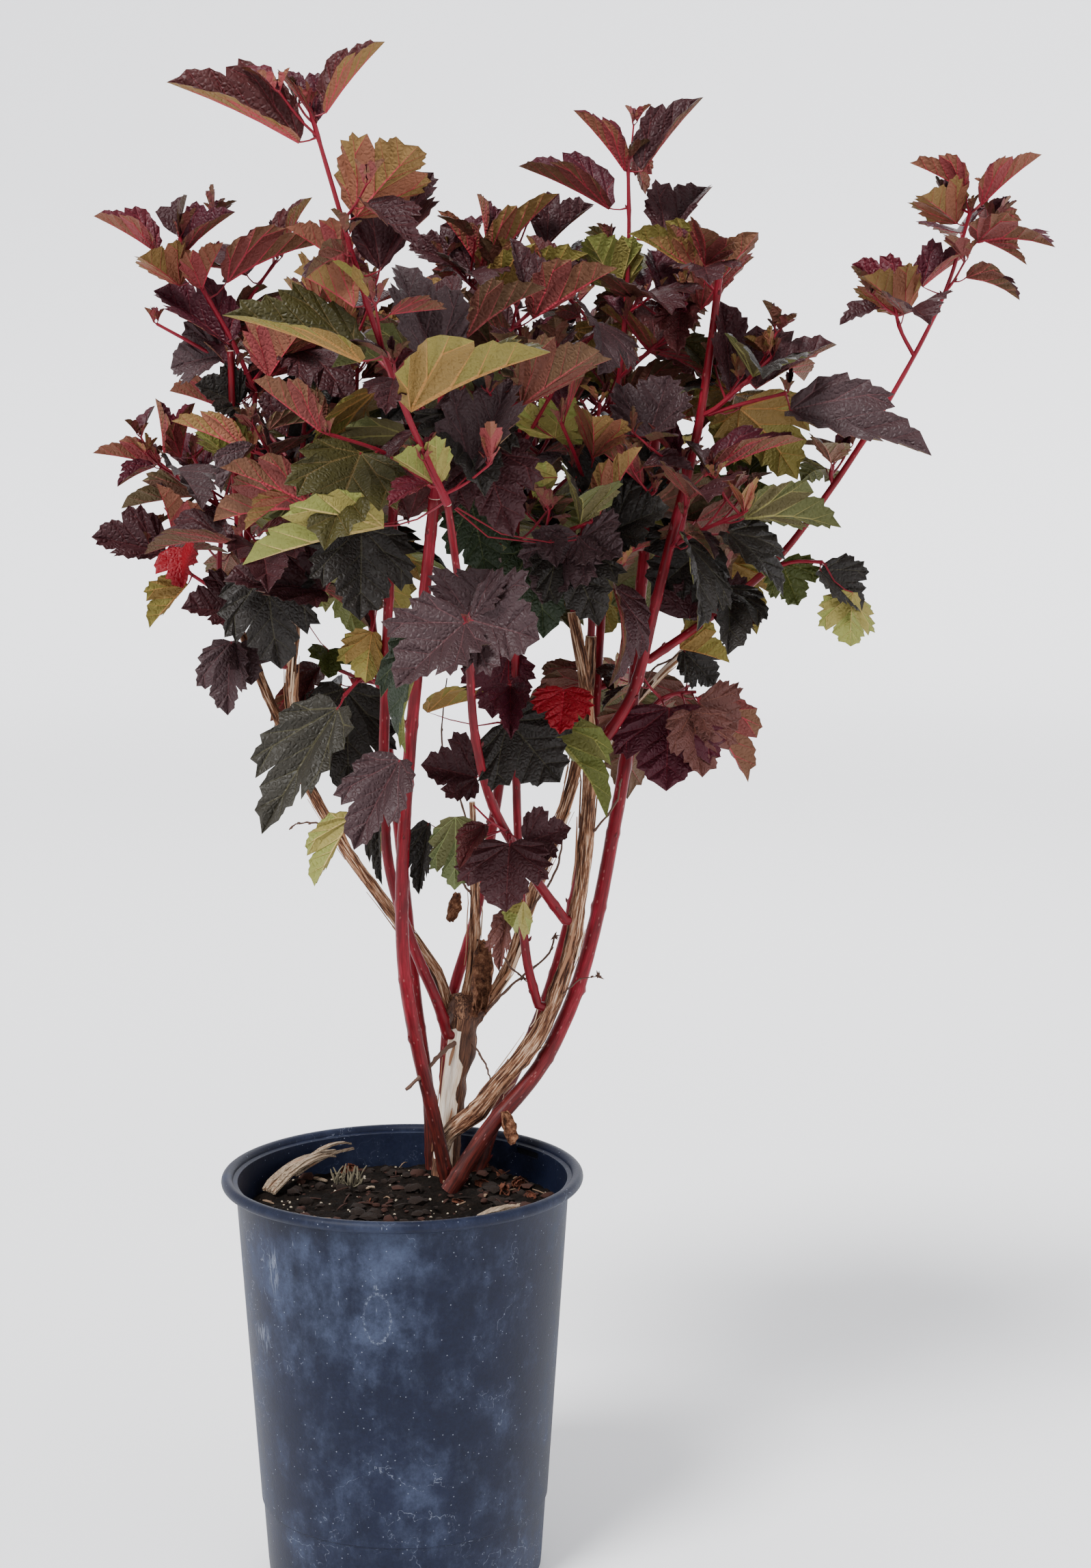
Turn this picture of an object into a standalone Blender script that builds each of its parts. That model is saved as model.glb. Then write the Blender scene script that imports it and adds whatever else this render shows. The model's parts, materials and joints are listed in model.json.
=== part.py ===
"""Ninebark shrub in its nursery pot: red and brown canes from one crown, with masses of leaves.

Sizes are in metres unless a name says otherwise. The origin is the middle of the pot's flat
underside, +Z is up and -Y is the side that faces the viewer.
"""
import math
import random
from dataclasses import dataclass, replace

import bmesh
import bpy
from mathutils import Matrix, Vector
from mathutils.bvhtree import BVHTree

# Driving sizes
CM = 0.01
MM = 0.001
GAP = 0.3 * MM                    # clearance between two solids that meet
SEAT_STEP = 0.2 * MM              # how finely a branch is cut back to that clearance
TIP_REACH = 3.0 * MM              # a branch that starts this near a limb's tip goes on from it

RING_SPACING = 6.5 * CM           # between the rings of corners along a limb
FLARE_FADE = 1.6                  # centimetres over which a limb's wider foot fades

POT_HEIGHT = 32.0 * CM
POT_FOOT_RADIUS = 10.85 * CM
POT_TOP_RADIUS = 13.0 * CM        # outside of the wall, just under the lip
POT_WALL = 2.0 * MM
LIP_RADIUS = 14.05 * CM           # outside of the rolled lip
LIP_DEPTH = 9.0 * MM
STEP_HEIGHT = 6.0 * CM            # moulded step near the pot's foot
STEP_WIDTH = 1.2 * MM
POT_SIDES = 40
SOIL_DROP = 3.0 * CM              # soil surface under the top of the lip
SOIL_TOP = POT_HEIGHT - SOIL_DROP

# Leaf rule
LEAF_TURN = 137.5                 # degrees between one leaf and the next up a shoot
LEAF_THICKNESS = 0.016            # of the leaf's length
SHOULDER = 0.38                   # widest place, as a share of the leaf's length
UPPER = 0.70                      # second pair of corners, as a share of the length
UPPER_WIDTH = 0.68                # its width, as a share of the widest
STALK_ROOT = 0.6 * MM             # radius where a stalk sits in its twig
STALK_END = 0.95 * MM             # radius where the blade starts
STEM_SIDES = 4
TWIG_RADII = (1.9 * MM, 1.6 * MM, 1.4 * MM)
STALK_SHARE = (0.30, 0.18)        # stalk as a share of the blade, oldest and youngest leaf
WIDTH_SHARE = (0.94, 0.76)        # greatest width as a share of the length, oldest and youngest
FOLD = (17, 39)                   # degrees that the halves are raised, oldest and youngest
CURL = (36, 10)                   # degrees that the outer part bends down, oldest and youngest
LIFT_SPREAD = 18                  # degrees either way
ROLL_SPREAD = 34                  # degrees either way about the midrib
TURN_SPREAD = 10                  # degrees either way round the twig
RETRY_TURN = 17                   # degrees further round the twig for each new try
LAST_NODE = 0.95                  # where the youngest leaf sits, as a share of its twig
LEAF_ROOM = 0.04                  # how much wider a leaf's place is than the leaf
TRIES = 9                         # places tried for a leaf before it is left out

# Corners: 0 to 2 the stalk's foot, 3 to 5 its end, 6 right and 7 left at the widest place,
# 8 top and 9 underside of its middle, 10 the tip, 11 right and 12 left between the two
LEAF_FACES = ((0, 2, 1), (0, 1, 4, 3), (1, 2, 5, 4), (2, 0, 3, 5),
              (3, 4, 6), (3, 6, 8), (3, 8, 7), (3, 7, 5),
              (8, 6, 11), (8, 11, 10), (8, 10, 12), (8, 12, 7),
              (4, 9, 6), (5, 7, 9), (4, 5, 9),
              (9, 11, 6), (9, 10, 11), (9, 12, 10), (9, 7, 12))

POT_BLACK = (0.035, 0.045, 0.06, 1.0)
SOIL_BROWN = (0.045, 0.03, 0.022, 1.0)
BARK_RED = (0.33, 0.035, 0.055, 1.0)
BARK_BROWN = (0.22, 0.13, 0.08, 1.0)
BARK_PALE = (0.62, 0.50, 0.38, 1.0)
LEAF_DARK = (0.075, 0.028, 0.035, 1.0)
LEAF_WINE = (0.16, 0.030, 0.040, 1.0)
LEAF_GREEN = (0.11, 0.10, 0.035, 1.0)


@dataclass
class Limb:
    """A cane or bough: its route in centimetres and its thickness in millimetres."""
    name: str
    parent: str
    route: tuple
    thick: tuple
    colour: tuple = BARK_RED
    flare: float = 0.0


@dataclass
class Side:
    """A side shoot: where it leaves the stem (0 to 1), its compass heading (0 right, 90 back,
    180 left, 270 front), lean from upright, length in centimetres, number of leaves, length of
    its largest leaf in centimetres and heading of its first leaf."""
    along: float
    heading: float
    lean: float
    length: float
    leaves: int
    blade: float
    turn: float = 0.0


@dataclass
class Mass:
    """A mass of foliage: the limb that it grows on, from its tip or from the place nearest to
    the start of the stem's route; that route in centimetres and its thickness in millimetres;
    the stem's own leaves, how far the oldest and youngest leaves rise in degrees, and its side
    shoots."""
    name: str
    limb: str
    route: tuple
    thick: tuple
    leaves: int
    blade: float
    turn: float
    rise: tuple
    sides: tuple = ()
    bare: float = 0.1
    colour: tuple = LEAF_DARK


@dataclass
class Leaf:
    """One leaf, from where its stalk leaves the twig to its tip."""
    root: Vector
    base: Vector
    ahead: Vector
    face: Vector
    length: float
    width: float
    fold: float
    curl: float


LIMBS = (
    Limb("stump", "", ((3.0, 7.6, 29.03), (3.3, 7.5, 33.5), (3.9, 7.2, 38), (4.6, 7.0, 42.6)),
         (19, 21), BARK_PALE, flare=4),
    Limb("stub_dead", "stump", ((4.6, 7.0, 42.6), (5.3, 6.9, 47), (5.5, 6.7, 53), (5.3, 6.5, 60)),
         (12, 5), BARK_BROWN),
    Limb("bough_brown_left", "stump",
         ((4.4, 7.2, 40.4), (3.0, 7.6, 44.4), (1.1, 7.9, 47.9), (-4, 8.4, 54.6), (-8.2, 9.2, 61.6),
          (-11, 9.6, 68), (-13, 10, 73)), (11, 7.5), BARK_BROWN),
    Limb("bough_left_fork", "bough_brown_left",
         ((-7.7, 9.1, 60.8), (-8.9, 7.8, 66.5), (-8.8, 6.6, 71), (-8.2, 6, 76)), (9.5, 8), BARK_BROWN),
    Limb("cane_left_cut", "bough_left_fork",
         ((-8.9, 7.0, 69.5), (-11.4, 5.6, 75), (-12.6, 4.4, 82), (-12.8, 3, 95)), (6.4, 5)),
    Limb("cane_left_leafy", "cane_left_cut",
         ((-12.1, 5.0, 78.5), (-12.0, 6.2, 83.5), (-11.3, 6, 92)), (5.4, 4)),
    Limb("cane_left_inner", "stump",
         ((4.1, 7.2, 38.4), (2.9, 5.7, 42.9), (1.5, 5.0, 46.8), (-0.7, 3.9, 53), (-1.4, 3, 60),
          (-1.1, 2.2, 72), (-0.3, 2, 86)), (9, 7.6)),
    Limb("cane_front_left", "",
         ((3.3, 5.6, 29.03), (2.8, 5.2, 32.3), (1.8, 4.3, 37), (0.7, 2.9, 42.9), (0, 1, 50),
          (0.4, -0.6, 60), (1.5, -3, 71), (3.0, -6, 84)), (12, 8.6)),
    Limb("bough_brown_right", "stump",
         ((3.7, 7.4, 31.8), (6.4, 5.7, 36.2), (10.4, 4.5, 41.4), (12.9, 3.6, 48.2),
          (14.2, 3.4, 57), (14.5, 3.4, 66.5), (13.2, 3, 75.2)), (15.5, 9), BARK_BROWN, flare=3),
    Limb("bough_brown_rear", "stump",
         ((4.6, 7.1, 40.6), (6.5, 7.6, 42.8), (7.9, 7.9, 45.8), (10.6, 8.8, 54), (13.8, 9.2, 63),
          (14.7, 8.2, 73)),
         (11, 9), BARK_BROWN),
    Limb("cane_right", "",
         ((3.4, 4.1, 29.03), (3.9, 4.2, 31.7), (5.6, 4.4, 33.4), (8.3, 5.0, 35.3),
          (11.4, 5.7, 40.2), (14.2, 6.2, 46.8), (16.3, 6.6, 56.7), (17.8, 7.1, 66),
          (18.6, 8.2, 76.5), (19.8, 9.2, 88.9)), (14.5, 8)),
    Limb("cane_right_long", "bough_brown_right",
         ((14.5, 3.4, 63.4), (16.3, 3.0, 66), (18.2, 3.1, 70), (20.1, 2.4, 78.5), (22.7, 1.2, 89.6),
          (24.2, 0.5, 101.6)), (9.6, 5.6)),
    Limb("cane_far_right", "cane_right_long",
         ((18.5, 3.1, 71.0), (22.3, 4.5, 73.8), (26.3, 5, 76.4), (31.1, 5, 81.7), (36.8, 4, 90.4)),
         (7, 4.6)),
    Limb("cane_top_right", "bough_brown_rear",
         ((14.7, 8.2, 73), (15.1, 7.6, 80), (16.2, 7.2, 86.2), (16.7, 7, 92)), (6.4, 5)),
    Limb("branch_dead_right", "bough_brown_right",
         ((14.5, 3.5, 62.4), (16.0, 7.0, 64.6), (18.4, 10.0, 67.8), (22.8, 11.3, 72.3)),
         (6.5, 4.4), BARK_PALE),
    Limb("cane_centre", "bough_brown_right",
         ((11.0, 4.2, 42.4), (9.8, 3.4, 46.5), (9.0, 2.3, 57), (8.8, 2, 68), (8.8, 2, 78)), (7.6, 6)),
    Limb("cane_tall_front", "bough_brown_right",
         ((13.3, 3.5, 50.2), (8.5, 0, 57.8), (6.2, -3.4, 64), (5.5, -8, 72.6), (4.3, -14.5, 83.7)),
         (8.4, 5.4)),
    Limb("cane_centre_rear", "",
         ((3.4, 9.8, 29.03), (2.9, 9.7, 37.6), (3.5, 9.8, 43.5), (5.2, 9.9, 49.2), (7.4, 10.6, 61),
          (9.5, 12, 77)), (10.5, 7.5)),
    Limb("cane_back_left", "",
         ((1.8, 9.5, 29.03), (1.5, 10, 36), (0.6, 10.6, 43), (-0.9, 12.6, 57), (-3.6, 18, 76)),
         (10.5, 7.5)),
    Limb("cane_back_right", "",
         ((5.5, 8.9, 29.03), (7.4, 9.9, 34.6), (11, 11.4, 42.6), (14.2, 13.8, 55), (15.8, 19, 75)),
         (11.5, 7.5)),
)

MASSES = (
    Mass("foliage_tall_front", "cane_tall_front",
         ((4.3, -14.5, 83.7), (1.5, -17.5, 90.3), (-0.6, -20, 96.5), (-2.6, -21.6, 103.6),
          (-4.2, -23, 109.4)),
         (5.4, 3.0), 13, 10.4, 196, (-6, 62), colour=LEAF_WINE),
    Mass("foliage_low_front", "cane_tall_front",
         ((5.5, -8.3, 73), (5.9, -10.5, 75.3)), (3.6, 3.0), 4, 10.5, 190, (-34, -6), bare=0.3),
    Mass("foliage_front", "cane_front_left",
         ((3.0, -6, 84), (3.4, -6.4, 90), (4.6, -5.4, 97)), (7, 3.0), 7, 9, 20, (-44, 50),
         (Side(0.05, 200, 80, 9, 4, 9, 150), Side(0.15, 330, 60, 9, 4, 9, 300),
          Side(0.40, 150, 48, 10, 4, 8.5, 180), Side(0.62, 20, 50, 9, 4, 8, 60))),
    Mass("foliage_left_inner", "cane_left_inner",
         ((-0.6, 2, 79), (-3.6, 0.6, 83), (-4.8, 0, 88)), (4.6, 3.0), 5, 9, 200, (-46, 40),
         (Side(0.25, 250, 78, 8, 4, 9, 200), Side(0.55, 175, 62, 8, 4, 8, 120))),
    Mass("foliage_left_top", "cane_left_leafy",
         ((-11.3, 6, 92), (-13, 5.2, 96), (-15.2, 5, 100), (-16.8, 5, 103.6)),
         (4.4, 3), 8, 8.4, 188, (-14, 58),
         (Side(0.05, 350, 50, 9, 4, 8, 330), Side(0.10, 185, 62, 8, 4, 7.5, 200),
          Side(0.36, 40, 44, 8, 3, 7.5, 20)), colour=LEAF_WINE),
    Mass("foliage_left_side", "bough_brown_left",
         ((-13, 10, 73), (-14.8, 10, 77.4), (-14.6, 9.6, 82.5), (-16.6, 9.2, 87)), (5.6, 3), 7, 8.4, 150,
         (-44, 54), (Side(0.22, 190, 52, 7, 4, 8, 180), Side(0.50, 90, 55, 8, 3, 8, 60),
                    Side(0.72, 178, 48, 6, 3, 7.5, 175))),
    Mass("foliage_left_low", "bough_brown_left",
         ((-11.6, 9.7, 69.6), (-14, 8.8, 70.8)), (3.4, 3), 3, 8, 200, (-55, -35), bare=0.45),
    Mass("foliage_left_fork", "bough_left_fork",
         ((-8.2, 6, 76), (-8, 5.2, 83), (-7.2, 4.6, 92)), (6.4, 3), 8, 8.8, 100, (-46, 48),
         (Side(0.10, 230, 75, 7, 4, 8.5, 200), Side(0.22, 110, 58, 9, 4, 8, 90),
          Side(0.52, 300, 62, 7, 3, 8, 280), Side(0.60, 140, 46, 8, 3, 7.5, 120))),
    Mass("foliage_lobed_left", "cane_left_inner",
         ((-1.2, 2.5, 68.8), (-2.6, 1.4, 70.4), (-4.2, 0.2, 69)), (3.4, 3), 1, 12, 232, (-50, -50),
         bare=0.6, colour=LEAF_GREEN),
    Mass("foliage_hanging_left", "cane_front_left",
         ((0.5, -0.8, 61.4), (-0.8, -1.2, 62.6), (-1.8, -1.0, 62.8)), (3.4, 3), 3, 9, 190, (-58, -44),
         bare=0.2, colour=LEAF_GREEN),
    Mass("foliage_hanging_centre", "cane_tall_front",
         ((8.9, 0.4, 57.2), (8.2, -1.4, 58.8)), (3.4, 3), 4, 7.6, 300, (-56, -30), bare=0.3),
    Mass("foliage_centre_low", "cane_centre",
         ((8.8, 2.1, 65), (7.8, 0.4, 67.4), (8.4, -0.8, 70)), (3.6, 3), 4, 9, 220, (-60, -24),
         (Side(0.1, 20, 70, 6, 3, 8, 10),)),
    Mass("foliage_centre", "cane_centre",
         ((8.8, 2, 78), (9.0, 1.4, 86), (9.6, 1.2, 95)), (6, 3), 8, 9, 300, (-46, 54),
         (Side(0.04, 320, 78, 8, 4, 9, 300), Side(0.16, 200, 70, 8, 4, 8.6, 230),
          Side(0.36, 60, 56, 7, 3, 8, 30), Side(0.55, 280, 52, 8, 4, 8, 250))),
    Mass("foliage_right_inner", "bough_brown_right",
         ((13.2, 3, 75.2), (14.0, 1.8, 82), (15.2, 0.8, 91)), (5, 3), 7, 9, 200, (-46, 50),
         (Side(0.06, 300, 80, 7, 3, 8.6, 280), Side(0.34, 345, 62, 7, 3, 8.6, 320),
          Side(0.58, 250, 50, 8, 3, 8, 240))),
    Mass("foliage_top_right", "cane_top_right",
         ((16.7, 7, 92), (17.2, 7, 97), (17.5, 6.5, 103), (17.4, 6, 109.4)),
         (5, 3), 9, 8.4, 12, (-24, 62),
         (Side(0.06, 330, 52, 9, 4, 8, 330), Side(0.16, 200, 48, 8, 4, 8, 180),
          Side(0.30, 60, 50, 7, 3, 7.6, 40)), colour=LEAF_WINE),
    Mass("foliage_right_front", "cane_right_long",
         ((20.1, 2.3, 79), (21.6, 0.6, 82.4), (21.4, -1, 86.6)), (3.8, 3), 5, 8.8, 300, (-46, 36),
         (Side(0.2, 350, 70, 6, 3, 8, 340),)),
    Mass("foliage_right_spray", "cane_right_long",
         ((22.7, 1.2, 89.6), (25, 0.4, 91.6), (28, 0, 94.4)), (4.2, 3), 5, 9, 8, (-20, 34),
         (Side(0.06, 352, 78, 6, 2, 12, 350), Side(0.30, 80, 50, 6, 3, 7.5, 70))),
    Mass("foliage_right_top", "cane_right_long",
         ((23.9, 0.7, 98.6), (23.0, 1.2, 100.6)), (3.4, 3), 3, 6.4, 190, (-6, 46), bare=0.4),
    Mass("foliage_right_rear", "cane_right",
         ((18.7, 8.4, 77.6), (21, 9.6, 81), (22.6, 10.2, 86)), (5, 3), 6, 8.8, 330, (-48, 44),
         (Side(0.10, 30, 70, 7, 3, 8.6, 10), Side(0.36, 350, 66, 7, 3, 8.4, 340),
          Side(0.50, 120, 56, 8, 3, 8, 110)), colour=LEAF_GREEN),
    Mass("foliage_right_middle", "cane_far_right",
         ((22.1, 4.4, 73.7), (24, 5.6, 75.8), (25, 6, 78)), (3.4, 3), 5, 8, 350, (-52, 24), bare=0.25),
    Mass("foliage_right_low", "cane_right",
         ((17.7, 7.0, 65.4), (20.4, 7.2, 68.2), (23, 7.8, 68.6)), (3.8, 3), 5, 9, 340, (-62, -30),
         (Side(0.45, 60, 80, 5, 3, 8.5, 40),)),
    Mass("foliage_far_right", "cane_far_right",
         ((36.8, 4, 90.4), (39.1, 3.5, 94.6), (41.4, 3, 99.6), (43.0, 2.5, 105.2)),
         (4.4, 3), 5, 7.6, 170, (4, 60),
         (Side(0.30, 175, 8, 4.5, 4, 6.4, 150),), bare=0.75, colour=LEAF_WINE),
    Mass("foliage_far_right_low", "cane_far_right",
         ((28.0, 5.0, 78), (30.2, 4.2, 79), (32.4, 3.6, 79)), (3.2, 3), 2, 7.4, 330, (-62, -40),
         bare=0.5, colour=LEAF_GREEN),
    Mass("foliage_far_right_middle", "cane_far_right",
         ((32.8, 4.8, 84.2), (33.2, 4.6, 86.4)), (3.2, 3), 3, 5, 110, (20, 50), bare=0.3),
    Mass("foliage_centre_rear", "cane_centre_rear",
         ((9.5, 12, 77), (10.2, 12.6, 86), (9.4, 11.4, 95), (8.2, 10.4, 102)), (7.5, 3), 9, 8.8, 250,
         (-44, 54),
         (Side(0.05, 190, 72, 8, 4, 8.6, 170), Side(0.20, 60, 70, 9, 4, 8.6, 60),
          Side(0.38, 350, 60, 9, 4, 8.4, 330), Side(0.52, 185, 52, 10, 4, 8, 170),
          Side(0.70, 20, 44, 9, 4, 8, 10), Side(0.80, 190, 42, 8, 3, 8, 200))),
    Mass("foliage_back_left", "cane_back_left",
         ((-3.6, 18, 76), (-4.6, 19, 85), (-4.2, 18, 97)), (7.5, 3), 9, 8.8, 90, (-46, 54),
         (Side(0.03, 200, 74, 9, 4, 8.6, 190), Side(0.12, 80, 70, 9, 4, 8.6, 80),
          Side(0.28, 320, 66, 8, 4, 8.6, 300), Side(0.44, 160, 56, 9, 4, 8, 150),
          Side(0.60, 50, 50, 9, 4, 8, 40), Side(0.74, 250, 46, 8, 3, 8, 240))),
    Mass("foliage_back_right", "cane_back_right",
         ((15.8, 19, 75), (16.6, 20.4, 84), (16.2, 19.6, 96)), (7.5, 3), 9, 8.8, 40, (-46, 54),
         (Side(0.03, 20, 74, 9, 4, 8.6, 20), Side(0.12, 110, 70, 9, 4, 8.6, 110),
          Side(0.26, 200, 64, 9, 4, 8.6, 200), Side(0.42, 350, 58, 9, 4, 8, 340),
          Side(0.58, 120, 50, 9, 4, 8, 120), Side(0.72, 230, 46, 8, 3, 8, 220))),
    Mass("foliage_back_low_left", "cane_back_left",
         ((-3.2, 16.2, 68), (-7, 17.4, 70)), (3.4, 3), 5, 8.8, 150, (-56, -24), bare=0.2),
    Mass("foliage_back_low_right", "cane_back_right",
         ((14.2, 17.2, 67.6), (18, 18.4, 69.6)), (3.4, 3), 5, 8.8, 60, (-56, -24), bare=0.2),
)


# Shapes

def heading_vector(degrees):
    """Level direction of a compass heading."""
    angle = math.radians(degrees)
    return Vector((math.cos(angle), math.sin(angle), 0))


def between(pair, share):
    """A value between the two of a pair."""
    return pair[0] + (pair[1] - pair[0]) * share


def smooth_route(points, steps):
    """Evenly stepped points on a smooth curve through the given ones."""
    ends = [2 * points[0] - points[1], *points, 2 * points[-1] - points[-2]]
    fine = []
    for a, b, c, d in zip(ends, ends[1:], ends[2:], ends[3:]):
        for step in range(8):
            t = step / 8
            fine.append(0.5 * (2 * b + (c - a) * t + (2 * a - 5 * b + 4 * c - d) * t * t
                               + (3 * b - a - 3 * c + d) * t ** 3))
    fine.append(points[-1].copy())
    lengths = [0.0]
    for a, b in zip(fine, fine[1:]):
        lengths.append(lengths[-1] + (b - a).length)
    route = []
    place = 0
    for step in range(steps + 1):
        want = lengths[-1] * step / steps
        while place < len(fine) - 2 and lengths[place + 1] < want:
            place += 1
        share = (want - lengths[place]) / (lengths[place + 1] - lengths[place])
        route.append(fine[place].lerp(fine[place + 1], min(share, 1)))
    return route


def along_route(route, share):
    """Point and direction at a share of the way along an evenly stepped route."""
    place = min(share, 1) * (len(route) - 1)
    step = min(int(place), len(route) - 2)
    point = route[step].lerp(route[step + 1], place - step)
    return point, (route[step + 1] - route[step]).normalized()


def tube(route, radii, sides, foot_plane=None):
    """Corners and faces of a closed tube with a ring of corners at each point of the route. Its
    first ring can lie square to another direction, such as upright on level ground."""
    directions = [(b - a).normalized() for a, b in zip(route, route[1:])]
    tangents = [directions[0]]
    tangents += [(a + b).normalized() for a, b in zip(directions, directions[1:])]
    tangents.append(directions[-1])
    across = tangents[0].orthogonal().normalized()
    corners = []
    for place, (point, tangent, radius) in enumerate(zip(route, tangents, radii)):
        across = (across - across.dot(tangent) * tangent).normalized()
        other = tangent.cross(across)
        for side in range(sides):
            angle = 2 * math.pi * side / sides
            corner = point + radius * (math.cos(angle) * across + math.sin(angle) * other)
            if foot_plane and place == 0:
                corner -= tangent * ((corner - point).dot(foot_plane) / tangent.dot(foot_plane))
            corners.append(corner)
    faces = [tuple(reversed(range(sides)))]
    for ring in range(len(route) - 1):
        for side in range(sides):
            a = ring * sides + side
            b = ring * sides + (side + 1) % sides
            faces.append((a, b, b + sides, a + sides))
    last = (len(route) - 1) * sides
    faces.append(tuple(range(last, last + sides)))
    return corners, faces


def leaf_shape(leaf, room=0.0):
    """Corners and faces of a three-sided stalk that opens into a folded blade, as one closed
    solid; room swells the blade, to test the space round it."""
    side = leaf.ahead.cross(leaf.face)
    middle = leaf.base + leaf.ahead * (SHOULDER * leaf.length)
    beyond = leaf.ahead * math.cos(leaf.curl) - leaf.face * math.sin(leaf.curl)
    half = (1 + room) * leaf.width / 2
    lifted = leaf.face * (half * math.sin(leaf.fold))
    thick = leaf.face * ((LEAF_THICKNESS + 0.2 * room) * leaf.length / 2)
    ring = (leaf.face, side * 0.87 - leaf.face * 0.5, side * -0.87 - leaf.face * 0.5)
    corners = [leaf.root + spot * STALK_ROOT for spot in ring]
    corners += [leaf.base + spot * STALK_END for spot in ring]
    spread = side * (half * math.cos(leaf.fold))
    upper = middle + beyond * ((UPPER - SHOULDER) * leaf.length) + lifted * UPPER_WIDTH
    corners += [middle + spread + lifted, middle - spread + lifted,
                middle + thick, middle - thick,
                middle + beyond * ((1 + room) * (1 - SHOULDER) * leaf.length),
                upper + spread * UPPER_WIDTH, upper - spread * UPPER_WIDTH]
    return corners, LEAF_FACES


def limb_radii(limb, count):
    """Radius at each of the evenly spaced points of a limb."""
    length = sum((Vector(b) - Vector(a)).length for a, b in zip(limb.route, limb.route[1:]))
    radii = []
    for step in range(count):
        share = step / (count - 1)
        thick = between(limb.thick, share) + limb.flare * math.exp(-share * length / FLARE_FADE)
        radii.append(thick * MM / 2)
    return radii


# Growth

def tree_of(shape):
    """Search tree of a shape's faces."""
    corners, faces = shape
    return BVHTree.FromPolygons(corners, faces)


def merged(shapes):
    """Corners and faces of several shapes as one."""
    corners = []
    faces = []
    for some, rings in shapes:
        faces += [tuple(corner + len(corners) for corner in ring) for ring in rings]
        corners += some
    return corners, faces


def clear_of(shape, others):
    """True where a shape crosses none of the others."""
    own = tree_of(shape)
    return not any(own.overlap(other) for other in others)


def trimmed(route, radii, cut):
    """A route without the first stretch of the given length."""
    place = 0
    while place < len(route) - 2 and (route[place + 1] - route[place]).length <= cut:
        cut -= (route[place + 1] - route[place]).length
        place += 1
    start = route[place] + (route[place + 1] - route[place]).normalized() * cut
    return [start, *route[place + 1:]], radii[place:]


def nearest_on_route(route, point):
    """The place on a route nearest to a point."""
    best = None
    for a, b in zip(route, route[1:]):
        run = b - a
        share = max(0.0, min(1.0, (point - a).dot(run) / run.length_squared))
        place = a + run * share
        if best is None or (place - point).length < (best - point).length:
            best = place
    return best


def seated(name, points, radii, sides, carrier):
    """Route, radii and foot plane of a branch, just clear of the limb that carries it: end to
    end on its tip, or cut back to its side."""
    route, thick, carrier_sides = carrier
    steps = len(radii) - 1
    if (points[0] - route[-1]).length < TIP_REACH:
        end = (route[-1] - route[-2]).normalized()
        return smooth_route([route[-1] + end * GAP, *points[1:]], steps), radii, end
    grown = smooth_route([nearest_on_route(route, points[0]), *points[1:]], steps)
    carrier_shape = tube(route, [radius + GAP for radius in thick], carrier_sides)
    parent = tree_of(carrier_shape)
    for step in range(1, 200):
        short, thin = trimmed(grown, radii, step * SEAT_STEP)
        if tree_of(tube(short, thin, sides)).overlap(parent):
            continue
        near = parent.find_nearest(short[0])
        if (short[0] - near[0]).dot(near[1]) > 0:
            return short, thin, None
    raise RuntimeError(f"{name} finds no seat")


def limb_plan(limb, routes):
    """Tube of a limb, seated on the one that carries it, and the room that it takes."""
    points = [Vector(p) * CM for p in limb.route]
    length = sum((b - a).length for a, b in zip(points, points[1:]))
    steps = max(4, min(10, round(length / RING_SPACING)))
    sides = 8 if limb.thick[0] > 15 else 6
    radii = limb_radii(limb, steps + 1)
    if limb.parent:
        route, radii, plane = seated(limb.name, points, radii, sides, routes[limb.parent])
    else:
        route = smooth_route(points, steps)
        plane = Vector((0, 0, 1))
    routes[limb.name] = (route, radii, sides)
    room = tube(route, [radius + GAP for radius in radii], sides, plane)
    return tube(route, radii, sides, plane), room


def side_route(stem, side, swing, chance):
    """Route of a side shoot: it leaves with the stem's own lean and bends to its heading."""
    start, forward = along_route(stem, side.along)
    out = heading_vector(side.heading + swing + chance.uniform(-6, 6))
    lean = math.radians(side.lean)
    first = (forward + 1.1 * out).normalized()
    last = (out * math.sin(lean) + Vector((0, 0, math.cos(lean)))).normalized()
    steps = len(TWIG_RADII) - 1
    route = [start]
    for step in range(steps):
        route.append(route[-1] + first.slerp(last, (step + 0.5) / steps) * (side.length * CM / steps))
    return route


def grow_leaf(route, share, age, heading, rise, blade, chance):
    """One leaf on a twig: young ones stand up folded, old ones spread and droop."""
    node, forward = along_route(route, share)
    out = heading_vector(heading)
    lift = math.radians(between(rise, age) + chance.uniform(-LIFT_SPREAD, LIFT_SPREAD))
    ahead = out * math.cos(lift) + Vector((0, 0, math.sin(lift)))
    length = blade * CM * (0.92 + 0.16 * math.sin(math.pi * age) - 0.20 * age * age)
    length *= chance.uniform(0.88, 1.08)
    stalk = (forward * 0.5 + out * 0.6 + ahead * 0.5).normalized()
    base = node + stalk * (length * between(STALK_SHARE, age))
    up = Vector((0, 0, 1))
    face = (up - ahead * up.dot(ahead)).normalized()
    roll = math.radians(chance.uniform(-ROLL_SPREAD, ROLL_SPREAD))
    face = Matrix.Rotation(roll, 3, ahead) @ face
    fold = math.radians(between(FOLD, age) + chance.uniform(-7, 7))
    curl = math.radians(between(CURL, age) + chance.uniform(-12, 12))
    width = length * between(WIDTH_SHARE, age) * chance.uniform(0.94, 1.06)
    return Leaf(node, base, ahead, face, length, width, fold, curl)


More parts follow.
